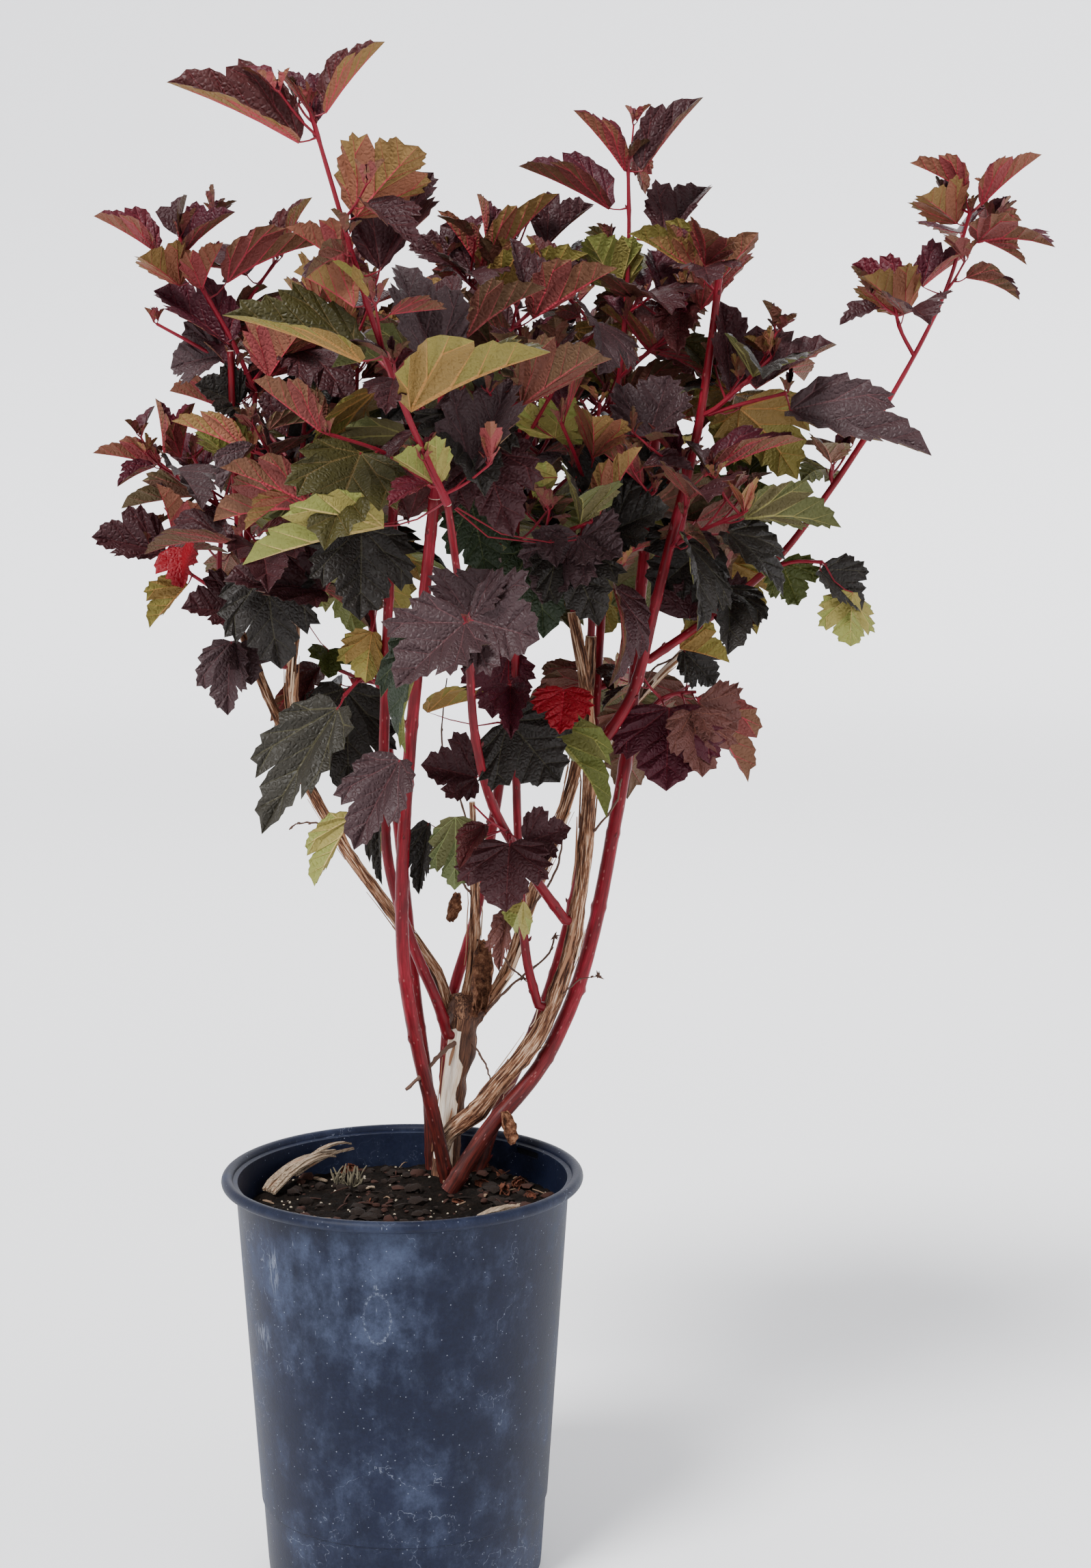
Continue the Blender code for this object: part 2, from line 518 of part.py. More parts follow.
def leaves_on(route, count, blade, turn, rise, bare, chance, blocked, twigs, own):
    """Leaves up a twig at the usual turn; one with no free place is left out. Its stalk may
    start in a twig of its mass, its blade keeps clear of them all."""
    grown = []
    for number in range(count):
        age = number / max(count - 1, 1)
        share = bare + (LAST_NODE - bare) * (number + 0.4) / (count - 0.6 if count > 1 else 1)
        for attempt in range(TRIES):
            swing = attempt * (-1) ** attempt * RETRY_TURN
            heading = turn + LEAF_TURN * number + swing
            heading += chance.uniform(-TURN_SPREAD, TURN_SPREAD)
            leaf = grow_leaf(route, min(share, LAST_NODE), age, heading, rise, blade, chance)
            shape = leaf_shape(leaf, LEAF_ROOM)
            blade_shape = leaf_shape(replace(leaf, root=leaf.base - leaf.ahead * MM), LEAF_ROOM)
            if clear_of(shape, blocked + own) and clear_of(blade_shape, twigs):
                grown.append(leaf)
                own.append(tree_of(shape))
                break
    return grown


def stem_plan(mass, routes):
    """Route and tube of a mass's stem."""
    points = [Vector(p) * CM for p in mass.route]
    steps = 2 * len(points) - 1
    radii = [between(mass.thick, step / steps) * MM / 2 for step in range(steps + 1)]
    route, radii, plane = seated(mass.name, points, radii, STEM_SIDES, routes[mass.limb])
    return route, tube(route, radii, STEM_SIDES, plane)


def mass_plan(mass, stem, stem_tube, blocked):
    """Tubes of a mass's twigs, and its leaves, clear of all that is blocked."""
    chance = random.Random(mass.name)
    twigs = [stem_tube]
    own = []
    plans = [(stem, mass.leaves, mass.blade, mass.turn, mass.bare)]
    for side in mass.sides:
        for swing in (0, 14, -14, 28, -28):
            route = side_route(stem, side, swing, chance)
            shape = tube(route, TWIG_RADII, 3)
            if clear_of(shape, blocked):
                twigs.append(shape)
                plans.append((route, side.leaves, side.blade, side.turn, 0.3))
                break
    leaves = []
    for route, count, blade, turn, bare in plans:
        leaves += leaves_on(route, count, blade, turn, mass.rise, bare, chance, blocked,
                            [tree_of(twig) for twig in twigs], own)
    return twigs, leaves


# Objects

def material(name, colour, roughness):
    """A plain Principled material."""
    made = bpy.data.materials.new(name)
    made.use_nodes = True
    shader = made.node_tree.nodes["Principled BSDF"]
    shader.inputs["Base Color"].default_value = colour
    shader.inputs["Roughness"].default_value = roughness
    made.diffuse_color = colour
    return made


def add_object(name, shape, collection=None):
    """A mesh object from corners and faces, with its faces turned outwards."""
    corners, faces = shape
    mesh = bpy.data.meshes.new(name)
    mesh.from_pydata([tuple(c) for c in corners], [], faces)
    form = bmesh.new()
    form.from_mesh(mesh)
    bmesh.ops.recalc_face_normals(form, faces=form.faces)
    form.to_mesh(mesh)
    form.free()
    made = bpy.data.objects.new(name, mesh)
    (collection or bpy.context.scene.collection).objects.link(made)
    return made


def finish(made, colour, roughness, smooth_angle=40):
    """Material and shading of a finished object."""
    made.data.materials.clear()
    made.data.materials.append(material(made.name, colour, roughness))
    made.data.shade_smooth()
    made.data.set_sharp_from_angle(angle=math.radians(smooth_angle))


def keep_largest_body(made):
    """Drop any scrap that the union left apart from the main body."""
    form = bmesh.new()
    form.from_mesh(made.data)
    unseen = set(form.verts)
    bodies = []
    while unseen:
        front = [unseen.pop()]
        body = set(front)
        while front:
            for edge in front.pop().link_edges:
                for vert in edge.verts:
                    if vert in unseen:
                        unseen.discard(vert)
                        body.add(vert)
                        front.append(vert)
        bodies.append(body)
    largest = max(bodies, key=len)
    scraps = [vert for body in bodies if body is not largest for vert in body]
    bmesh.ops.delete(form, geom=scraps, context="VERTS")
    form.to_mesh(made.data)
    form.free()


def join_mass(mass, twigs, leaves):
    """One solid from a mass's twigs and leaves, by a union on their collection."""
    pieces = bpy.data.collections.new(mass.name + "_pieces")
    bpy.context.scene.collection.children.link(pieces)
    stem = add_object(mass.name, twigs[0])
    for twig in twigs[1:]:
        add_object("twig", twig, pieces)
    for leaf in leaves:
        add_object("leaf", leaf_shape(leaf), pieces)
    union = stem.modifiers.new("union", "BOOLEAN")
    union.operation = "UNION"
    union.operand_type = "COLLECTION"
    union.collection = pieces
    union.solver = "MANIFOLD"
    evaluated = stem.evaluated_get(bpy.context.evaluated_depsgraph_get())
    joined = bpy.data.meshes.new_from_object(evaluated)
    stem.modifiers.remove(union)
    stem.data = joined
    for piece in list(pieces.objects):
        bpy.data.objects.remove(piece)
    bpy.data.collections.remove(pieces)
    keep_largest_body(stem)
    finish(stem, mass.colour, 0.55, smooth_angle=20)
    return stem


def turned_solid(name, profile, sides):
    """A closed solid from a profile that starts and ends on the upright axis."""
    form = bmesh.new()
    points = [form.verts.new((radius, 0, height)) for radius, height in profile]
    edges = [form.edges.new(pair) for pair in zip(points, points[1:])]
    bmesh.ops.spin(form, geom=points + edges, cent=(0, 0, 0), axis=(0, 0, 1),
                   angle=2 * math.pi, steps=sides, use_merge=True)
    bmesh.ops.remove_doubles(form, verts=form.verts, dist=0.01 * MM)
    bmesh.ops.recalc_face_normals(form, faces=form.faces)
    mesh = bpy.data.meshes.new(name)
    form.to_mesh(mesh)
    form.free()
    made = bpy.data.objects.new(name, mesh)
    bpy.context.scene.collection.objects.link(made)
    return made


def wall_radius(height):
    """Outside radius of the pot's wall, with its moulded step near the foot."""
    share = height / POT_HEIGHT
    radius = POT_FOOT_RADIUS + (POT_TOP_RADIUS - POT_FOOT_RADIUS) * share
    return radius if height > STEP_HEIGHT else radius - STEP_WIDTH


def make_pot():
    """Tapered pot with a step near its foot, a flat underside and a rolled lip."""
    bead = LIP_DEPTH / 2
    bead_middle = LIP_RADIUS - bead
    lip = []
    for turn in range(-90, 136, 45):
        angle = math.radians(turn)
        lip.append((bead_middle + bead * math.cos(angle),
                    POT_HEIGHT - bead + bead * math.sin(angle)))
    under_lip = POT_HEIGHT - LIP_DEPTH
    inside_top = POT_TOP_RADIUS - POT_WALL
    profile = [(0, 0), (wall_radius(0), 0), (wall_radius(STEP_HEIGHT), STEP_HEIGHT),
               (wall_radius(STEP_HEIGHT + STEP_WIDTH), STEP_HEIGHT + STEP_WIDTH),
               (wall_radius(under_lip), under_lip), *lip,
               (inside_top, POT_HEIGHT - LIP_DEPTH / 2),
               (soil_radius(POT_WALL), POT_WALL), (0, POT_WALL)]
    pot = turned_solid("pot", profile, POT_SIDES)
    finish(pot, POT_BLACK, 0.5)
    return pot


def soil_radius(height):
    """Inside radius of the pot."""
    foot = POT_FOOT_RADIUS - STEP_WIDTH - POT_WALL
    top = POT_TOP_RADIUS - POT_WALL
    return foot + (top - foot) * (height - POT_WALL) / (POT_HEIGHT - LIP_DEPTH / 2 - POT_WALL)


def make_soil():
    """The potting mix that fills the pot to a little below its lip."""
    bottom = POT_WALL + GAP
    profile = [(0, bottom), (soil_radius(bottom) - GAP, bottom),
               (soil_radius(SOIL_TOP) - GAP, SOIL_TOP), (0, SOIL_TOP)]
    soil = turned_solid("soil", profile, POT_SIDES)
    finish(soil, SOIL_BROWN, 0.95)
    return soil


def main():
    for old in list(bpy.data.objects):
        bpy.data.objects.remove(old, do_unlink=True)
    make_pot()
    make_soil()
    routes = {}
    taken = {}
    for limb in LIMBS:
        shape, room = limb_plan(limb, routes)
        taken[limb.name] = tree_of(room)
        finish(add_object(limb.name, shape), limb.colour, 0.5)
    stems = {mass.name: stem_plan(mass, routes) for mass in MASSES}
    for mass in MASSES:
        taken[mass.name] = tree_of(stems[mass.name][1])
    for mass in MASSES:
        blocked = [tree for name, tree in taken.items() if name != mass.name]
        twigs, leaves = mass_plan(mass, *stems[mass.name], blocked)
        join_mass(mass, twigs, leaves)
        taken[mass.name] = tree_of(merged(twigs + [leaf_shape(leaf, LEAF_ROOM) for leaf in leaves]))


main()
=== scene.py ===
"""Ninebark shrub in its nursery pot: barked canes, twigs and leaves grown by the part's own rule,
the black pot and its potting mix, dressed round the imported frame.

Sizes are in metres unless a name says otherwise. The origin is the middle of the pot's flat
underside, +Z is up and -Y is the side that faces the viewer.
"""

import itertools
import json
import math
import random
from dataclasses import dataclass, replace

import bpy
from bpy.props import FloatProperty, FloatVectorProperty, IntProperty, PointerProperty
from mathutils import Matrix, Vector, noise
from mathutils.bvhtree import BVHTree

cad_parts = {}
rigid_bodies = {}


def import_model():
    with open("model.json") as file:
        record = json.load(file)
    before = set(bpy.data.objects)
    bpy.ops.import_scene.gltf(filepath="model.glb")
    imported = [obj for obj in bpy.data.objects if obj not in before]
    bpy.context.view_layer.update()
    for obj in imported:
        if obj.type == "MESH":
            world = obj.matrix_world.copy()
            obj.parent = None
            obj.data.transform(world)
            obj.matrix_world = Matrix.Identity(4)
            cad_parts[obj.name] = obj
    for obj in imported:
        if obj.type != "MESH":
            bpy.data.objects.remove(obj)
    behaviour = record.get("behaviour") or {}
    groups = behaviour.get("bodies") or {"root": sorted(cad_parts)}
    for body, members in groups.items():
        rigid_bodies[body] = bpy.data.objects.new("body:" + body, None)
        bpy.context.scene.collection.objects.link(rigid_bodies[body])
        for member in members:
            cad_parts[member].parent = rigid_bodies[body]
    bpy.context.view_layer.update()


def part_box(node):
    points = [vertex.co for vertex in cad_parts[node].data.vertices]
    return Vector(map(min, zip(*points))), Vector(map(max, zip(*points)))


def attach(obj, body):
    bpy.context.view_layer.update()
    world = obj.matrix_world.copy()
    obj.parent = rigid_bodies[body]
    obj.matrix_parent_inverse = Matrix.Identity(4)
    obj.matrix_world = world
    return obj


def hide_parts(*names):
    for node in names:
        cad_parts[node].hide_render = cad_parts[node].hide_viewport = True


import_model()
noise.seed_set(5)  # the crumples of dried leaves are the same each run

bl_info = {
    "name": "Potted Ninebark",
    "version": (1, 0, 0),
    "blender": (4, 5, 0),
    "location": "View3D > Sidebar > Ninebark",
    "description": "Ninebark shrub in a nursery pot, with bark, twigs, leaves and potting mix",
    "category": "Add Mesh",
}

BODY = "root"
CM = 0.01
MM = 0.001
UP = Vector((0, 0, 1))

# Sizes of the part that the plan of growth repeats
GAP = 0.3 * MM
SEAT_STEP = 0.2 * MM
TIP_REACH = 3.0 * MM
RING_SPACING = 6.5 * CM
FLARE_FADE = 1.6

POT_HEIGHT = 32.0 * CM
POT_FOOT_RADIUS = 10.85 * CM
POT_TOP_RADIUS = 13.0 * CM
POT_WALL = 2.0 * MM
LIP_RADIUS = 14.05 * CM
LIP_DEPTH = 9.0 * MM
STEP_HEIGHT = 6.0 * CM
STEP_WIDTH = 1.2 * MM
SOIL_DROP = 3.0 * CM
SOIL_TOP = POT_HEIGHT - SOIL_DROP

LEAF_TURN = 137.5
LEAF_THICKNESS = 0.016
SHOULDER = 0.38
UPPER = 0.70
UPPER_WIDTH = 0.68
STALK_ROOT = 0.6 * MM
STALK_END = 0.95 * MM
STEM_SIDES = 4
TWIG_RADII = (1.9 * MM, 1.6 * MM, 1.4 * MM)
STALK_SHARE = (0.30, 0.18)
WIDTH_SHARE = (0.94, 0.76)
FOLD = (17, 39)
CURL = (36, 10)
LIFT_SPREAD = 18
ROLL_SPREAD = 34
TURN_SPREAD = 10
RETRY_TURN = 17
LAST_NODE = 0.95
LEAF_ROOM = 0.04
TRIES = 9
SIDE_BARE = 0.3
NOISE_REACH = 50
# Corners: 0 to 2 the stalk's foot, 3 to 5 its end, 6 right and 7 left at the widest place,
# 8 top and 9 underside of its middle, 10 the tip, 11 right and 12 left between the two
LEAF_FACES = ((0, 2, 1), (0, 1, 4, 3), (1, 2, 5, 4), (2, 0, 3, 5),
              (3, 4, 6), (3, 6, 8), (3, 8, 7), (3, 7, 5),
              (8, 6, 11), (8, 11, 10), (8, 10, 12), (8, 12, 7),
              (4, 9, 6), (5, 7, 9), (4, 5, 9),
              (9, 11, 6), (9, 10, 11), (9, 12, 10), (9, 7, 12))

# The record's slots that the plant's pieces take their finish from
BARK_RED = "bark_red"
BARK_BROWN = "bark_brown"
BARK_PALE = "bark_pale"
LEAF_DARK = "leaf_dark"
LEAF_WINE = "leaf_wine"
LEAF_GREEN = "leaf_green"


@dataclass
class Limb:
    """A cane or bough: its route in centimetres and its thickness in millimetres."""
    name: str
    parent: str
    route: tuple
    thick: tuple
    slot: str = BARK_RED
    flare: float = 0.0


@dataclass
class Side:
    """A side shoot: where it leaves the stem (0 to 1), its compass heading (0 right, 90 back,
    180 left, 270 front), lean from upright, length in centimetres, number of leaves, length of
    its largest leaf in centimetres and heading of its first leaf."""
    along: float
    heading: float
    lean: float
    length: float
    leaves: int
    blade: float
    turn: float = 0.0


@dataclass
class Mass:
    """A mass of foliage: the limb that it grows on, from its tip or from the place nearest to
    the start of the stem's route; that route in centimetres and its thickness in millimetres;
    the stem's own leaves, how far the oldest and youngest leaves rise in degrees, and its side
    shoots."""
    name: str
    limb: str
    route: tuple
    thick: tuple
    leaves: int
    blade: float
    turn: float
    rise: tuple
    sides: tuple = ()
    bare: float = 0.1
    slot: str = LEAF_DARK


@dataclass
class Leaf:
    """One leaf, from where its stalk leaves the twig to its tip."""
    root: Vector
    base: Vector
    ahead: Vector
    face: Vector
    length: float
    width: float
    fold: float
    curl: float
    age: float = 0.0


LIMBS = (
    Limb("stump", "", ((3, 7.6, 29.03), (3.3, 7.5, 33.5), (3.9, 7.2, 38), (4.6, 7, 42.6)), (19, 21),
         BARK_PALE, flare=4),
    Limb("stub_dead", "stump", ((4.6, 7, 42.6), (5.3, 6.9, 47), (5.5, 6.7, 53), (5.3, 6.5, 60)),
         (12, 5), BARK_BROWN),
    Limb("bough_brown_left", "stump", ((4.4, 7.2, 40.4), (3, 7.6, 44.4), (1.1, 7.9, 47.9),
         (-4, 8.4, 54.6), (-8.2, 9.2, 61.6), (-11, 9.6, 68), (-13, 10, 73)), (11, 7.5),
         BARK_BROWN),
    Limb("bough_left_fork", "bough_brown_left", ((-7.7, 9.1, 60.8), (-8.9, 7.8, 66.5),
         (-8.8, 6.6, 71), (-8.2, 6, 76)), (9.5, 8), BARK_BROWN),
    Limb("cane_left_cut", "bough_left_fork", ((-8.9, 7, 69.5), (-11.4, 5.6, 75), (-12.6, 4.4, 82),
         (-12.8, 3, 95)), (6.4, 5)),
    Limb("cane_left_leafy", "cane_left_cut", ((-12.1, 5, 78.5), (-12, 6.2, 83.5), (-11.3, 6, 92)),
         (5.4, 4)),
    Limb("cane_left_inner", "stump", ((4.1, 7.2, 38.4), (2.9, 5.7, 42.9), (1.5, 5, 46.8),
         (-0.7, 3.9, 53), (-1.4, 3, 60), (-1.1, 2.2, 72), (-0.3, 2, 86)), (9, 7.6)),
    Limb("cane_front_left", "", ((3.3, 5.6, 29.03), (2.8, 5.2, 32.3), (1.8, 4.3, 37),
         (0.7, 2.9, 42.9), (0, 1, 50), (0.4, -0.6, 60), (1.5, -3, 71), (3, -6, 84)), (12, 8.6)),
    Limb("bough_brown_right", "stump", ((3.7, 7.4, 31.8), (6.4, 5.7, 36.2), (10.4, 4.5, 41.4),
         (12.9, 3.6, 48.2), (14.2, 3.4, 57), (14.5, 3.4, 66.5), (13.2, 3, 75.2)), (15.5, 9),
         BARK_BROWN, flare=3),
    Limb("bough_brown_rear", "stump", ((4.6, 7.1, 40.6), (6.5, 7.6, 42.8), (7.9, 7.9, 45.8),
         (10.6, 8.8, 54), (13.8, 9.2, 63), (14.7, 8.2, 73)), (11, 9), BARK_BROWN),
    Limb("cane_right", "", ((3.4, 4.1, 29.03), (3.9, 4.2, 31.7), (5.6, 4.4, 33.4), (8.3, 5, 35.3),
         (11.4, 5.7, 40.2), (14.2, 6.2, 46.8), (16.3, 6.6, 56.7), (17.8, 7.1, 66),
         (18.6, 8.2, 76.5), (19.8, 9.2, 88.9)), (14.5, 8)),
    Limb("cane_right_long", "bough_brown_right", ((14.5, 3.4, 63.4), (16.3, 3, 66), (18.2, 3.1, 70),
         (20.1, 2.4, 78.5), (22.7, 1.2, 89.6), (24.2, 0.5, 101.6)), (9.6, 5.6)),
    Limb("cane_far_right", "cane_right_long", ((18.5, 3.1, 71), (22.3, 4.5, 73.8), (26.3, 5, 76.4),
         (31.1, 5, 81.7), (36.8, 4, 90.4)), (7, 4.6)),
    Limb("cane_top_right", "bough_brown_rear", ((14.7, 8.2, 73), (15.1, 7.6, 80), (16.2, 7.2, 86.2),
         (16.7, 7, 92)), (6.4, 5)),
    Limb("branch_dead_right", "bough_brown_right", ((14.5, 3.5, 62.4), (16, 7, 64.6),
         (18.4, 10, 67.8), (22.8, 11.3, 72.3)), (6.5, 4.4), BARK_PALE),
    Limb("cane_centre", "bough_brown_right", ((11, 4.2, 42.4), (9.8, 3.4, 46.5), (9, 2.3, 57),
         (8.8, 2, 68), (8.8, 2, 78)), (7.6, 6)),
    Limb("cane_tall_front", "bough_brown_right", ((13.3, 3.5, 50.2), (8.5, 0, 57.8),
         (6.2, -3.4, 64), (5.5, -8, 72.6), (4.3, -14.5, 83.7)), (8.4, 5.4)),
    Limb("cane_centre_rear", "", ((3.4, 9.8, 29.03), (2.9, 9.7, 37.6), (3.5, 9.8, 43.5),
         (5.2, 9.9, 49.2), (7.4, 10.6, 61), (9.5, 12, 77)), (10.5, 7.5)),
    Limb("cane_back_left", "", ((1.8, 9.5, 29.03), (1.5, 10, 36), (0.6, 10.6, 43), (-0.9, 12.6, 57),
         (-3.6, 18, 76)), (10.5, 7.5)),
    Limb("cane_back_right", "", ((5.5, 8.9, 29.03), (7.4, 9.9, 34.6), (11, 11.4, 42.6),
         (14.2, 13.8, 55), (15.8, 19, 75)), (11.5, 7.5)),
)

MASSES = (
    Mass("foliage_tall_front", "cane_tall_front", ((4.3, -14.5, 83.7), (1.5, -17.5, 90.3),
         (-0.6, -20, 96.5), (-2.6, -21.6, 103.6), (-4.2, -23, 109.4)), (5.4, 3), 13, 10.4, 196,
         (-6, 62), slot=LEAF_WINE),
    Mass("foliage_low_front", "cane_tall_front", ((5.5, -8.3, 73), (5.9, -10.5, 75.3)), (3.6, 3), 4,
         10.5, 190, (-34, -6), bare=0.3),
    Mass("foliage_front", "cane_front_left", ((3, -6, 84), (3.4, -6.4, 90), (4.6, -5.4, 97)),
         (7, 3), 7, 9, 20, (-44, 50), ((0.05, 200, 80, 9, 4, 9, 150), (0.15, 330, 60, 9, 4, 9, 300),
         (0.4, 150, 48, 10, 4, 8.5, 180), (0.62, 20, 50, 9, 4, 8, 60))),
    Mass("foliage_left_inner", "cane_left_inner", ((-0.6, 2, 79), (-3.6, 0.6, 83), (-4.8, 0, 88)),
         (4.6, 3), 5, 9, 200, (-46, 40), ((0.25, 250, 78, 8, 4, 9, 200),
         (0.55, 175, 62, 8, 4, 8, 120))),
    Mass("foliage_left_top", "cane_left_leafy", ((-11.3, 6, 92), (-13, 5.2, 96), (-15.2, 5, 100),
         (-16.8, 5, 103.6)), (4.4, 3), 8, 8.4, 188, (-14, 58), ((0.05, 350, 50, 9, 4, 8, 330),
         (0.1, 185, 62, 8, 4, 7.5, 200), (0.36, 40, 44, 8, 3, 7.5, 20)), slot=LEAF_WINE),
    Mass("foliage_left_side", "bough_brown_left", ((-13, 10, 73), (-14.8, 10, 77.4),
         (-14.6, 9.6, 82.5), (-16.6, 9.2, 87)), (5.6, 3), 7, 8.4, 150, (-44, 54),
         ((0.22, 190, 52, 7, 4, 8, 180), (0.5, 90, 55, 8, 3, 8, 60),
         (0.72, 178, 48, 6, 3, 7.5, 175))),
    Mass("foliage_left_low", "bough_brown_left", ((-11.6, 9.7, 69.6), (-14, 8.8, 70.8)), (3.4, 3),
         3, 8, 200, (-55, -35), bare=0.45),
    Mass("foliage_left_fork", "bough_left_fork", ((-8.2, 6, 76), (-8, 5.2, 83), (-7.2, 4.6, 92)),
         (6.4, 3), 8, 8.8, 100, (-46, 48), ((0.1, 230, 75, 7, 4, 8.5, 200),
         (0.22, 110, 58, 9, 4, 8, 90), (0.52, 300, 62, 7, 3, 8, 280),
         (0.6, 140, 46, 8, 3, 7.5, 120))),
    Mass("foliage_lobed_left", "cane_left_inner", ((-1.2, 2.5, 68.8), (-2.6, 1.4, 70.4),
         (-4.2, 0.2, 69)), (3.4, 3), 1, 12, 232, (-50, -50), bare=0.6, slot=LEAF_GREEN),
    Mass("foliage_hanging_left", "cane_front_left", ((0.5, -0.8, 61.4), (-0.8, -1.2, 62.6),
         (-1.8, -1, 62.8)), (3.4, 3), 3, 9, 190, (-58, -44), bare=0.2, slot=LEAF_GREEN),
    Mass("foliage_hanging_centre", "cane_tall_front", ((8.9, 0.4, 57.2), (8.2, -1.4, 58.8)),
         (3.4, 3), 4, 7.6, 300, (-56, -30), bare=0.3),
    Mass("foliage_centre_low", "cane_centre", ((8.8, 2.1, 65), (7.8, 0.4, 67.4), (8.4, -0.8, 70)),
         (3.6, 3), 4, 9, 220, (-60, -24), ((0.1, 20, 70, 6, 3, 8, 10),)),
    Mass("foliage_centre", "cane_centre", ((8.8, 2, 78), (9, 1.4, 86), (9.6, 1.2, 95)), (6, 3), 8,
         9, 300, (-46, 54), ((0.04, 320, 78, 8, 4, 9, 300), (0.16, 200, 70, 8, 4, 8.6, 230),
         (0.36, 60, 56, 7, 3, 8, 30), (0.55, 280, 52, 8, 4, 8, 250))),
    Mass("foliage_right_inner", "bough_brown_right", ((13.2, 3, 75.2), (14, 1.8, 82),
         (15.2, 0.8, 91)), (5, 3), 7, 9, 200, (-46, 50), ((0.06, 300, 80, 7, 3, 8.6, 280),
         (0.34, 345, 62, 7, 3, 8.6, 320), (0.58, 250, 50, 8, 3, 8, 240))),
    Mass("foliage_top_right", "cane_top_right", ((16.7, 7, 92), (17.2, 7, 97), (17.5, 6.5, 103),
         (17.4, 6, 109.4)), (5, 3), 9, 8.4, 12, (-24, 62), ((0.06, 330, 52, 9, 4, 8, 330),
         (0.16, 200, 48, 8, 4, 8, 180), (0.3, 60, 50, 7, 3, 7.6, 40)), slot=LEAF_WINE),
    Mass("foliage_right_front", "cane_right_long", ((20.1, 2.3, 79), (21.6, 0.6, 82.4),
         (21.4, -1, 86.6)), (3.8, 3), 5, 8.8, 300, (-46, 36), ((0.2, 350, 70, 6, 3, 8, 340),)),
    Mass("foliage_right_spray", "cane_right_long", ((22.7, 1.2, 89.6), (25, 0.4, 91.6),
         (28, 0, 94.4)), (4.2, 3), 5, 9, 8, (-20, 34), ((0.06, 352, 78, 6, 2, 12, 350),
         (0.3, 80, 50, 6, 3, 7.5, 70))),
    Mass("foliage_right_top", "cane_right_long", ((23.9, 0.7, 98.6), (23, 1.2, 100.6)), (3.4, 3), 3,
         6.4, 190, (-6, 46), bare=0.4),
    Mass("foliage_right_rear", "cane_right", ((18.7, 8.4, 77.6), (21, 9.6, 81), (22.6, 10.2, 86)),
         (5, 3), 6, 8.8, 330, (-48, 44), ((0.1, 30, 70, 7, 3, 8.6, 10),
         (0.36, 350, 66, 7, 3, 8.4, 340), (0.5, 120, 56, 8, 3, 8, 110)), slot=LEAF_GREEN),
    Mass("foliage_right_middle", "cane_far_right", ((22.1, 4.4, 73.7), (24, 5.6, 75.8),
         (25, 6, 78)), (3.4, 3), 5, 8, 350, (-52, 24), bare=0.25),
    Mass("foliage_right_low", "cane_right", ((17.7, 7, 65.4), (20.4, 7.2, 68.2), (23, 7.8, 68.6)),
         (3.8, 3), 5, 9, 340, (-62, -30), ((0.45, 60, 80, 5, 3, 8.5, 40),)),
    Mass("foliage_far_right", "cane_far_right", ((36.8, 4, 90.4), (39.1, 3.5, 94.6),
         (41.4, 3, 99.6), (43, 2.5, 105.2)), (4.4, 3), 5, 7.6, 170, (4, 60),
         ((0.3, 175, 8, 4.5, 4, 6.4, 150),), bare=0.75, slot=LEAF_WINE),
    Mass("foliage_far_right_low", "cane_far_right", ((28, 5, 78), (30.2, 4.2, 79), (32.4, 3.6, 79)),
         (3.2, 3), 2, 7.4, 330, (-62, -40), bare=0.5, slot=LEAF_GREEN),
    Mass("foliage_far_right_middle", "cane_far_right", ((32.8, 4.8, 84.2), (33.2, 4.6, 86.4)),
         (3.2, 3), 3, 5, 110, (20, 50), bare=0.3),
    Mass("foliage_centre_rear", "cane_centre_rear", ((9.5, 12, 77), (10.2, 12.6, 86),
         (9.4, 11.4, 95), (8.2, 10.4, 102)), (7.5, 3), 9, 8.8, 250, (-44, 54),
         ((0.05, 190, 72, 8, 4, 8.6, 170), (0.2, 60, 70, 9, 4, 8.6, 60),
         (0.38, 350, 60, 9, 4, 8.4, 330), (0.52, 185, 52, 10, 4, 8, 170),
         (0.7, 20, 44, 9, 4, 8, 10), (0.8, 190, 42, 8, 3, 8, 200))),
    Mass("foliage_back_left", "cane_back_left", ((-3.6, 18, 76), (-4.6, 19, 85), (-4.2, 18, 97)),
         (7.5, 3), 9, 8.8, 90, (-46, 54), ((0.03, 200, 74, 9, 4, 8.6, 190),
         (0.12, 80, 70, 9, 4, 8.6, 80), (0.28, 320, 66, 8, 4, 8.6, 300),
         (0.44, 160, 56, 9, 4, 8, 150), (0.6, 50, 50, 9, 4, 8, 40),
         (0.74, 250, 46, 8, 3, 8, 240))),
    Mass("foliage_back_right", "cane_back_right", ((15.8, 19, 75), (16.6, 20.4, 84),
         (16.2, 19.6, 96)), (7.5, 3), 9, 8.8, 40, (-46, 54), ((0.03, 20, 74, 9, 4, 8.6, 20),
         (0.12, 110, 70, 9, 4, 8.6, 110), (0.26, 200, 64, 9, 4, 8.6, 200),
         (0.42, 350, 58, 9, 4, 8, 340), (0.58, 120, 50, 9, 4, 8, 120),
         (0.72, 230, 46, 8, 3, 8, 220))),
    Mass("foliage_back_low_left", "cane_back_left", ((-3.2, 16.2, 68), (-7, 17.4, 70)), (3.4, 3), 5,
         8.8, 150, (-56, -24), bare=0.2),
    Mass("foliage_back_low_right", "cane_back_right", ((14.2, 17.2, 67.6), (18, 18.4, 69.6)),
         (3.4, 3), 5, 8.8, 60, (-56, -24), bare=0.2),
)

# Shapes of the plan

def clamp(value):
    """A value kept between 0 and 1."""
    return max(0.0, min(1.0, value))


def polar(reach, angle):
    """The two level numbers of a place at a reach and an angle."""
    return reach * math.cos(angle), reach * math.sin(angle)


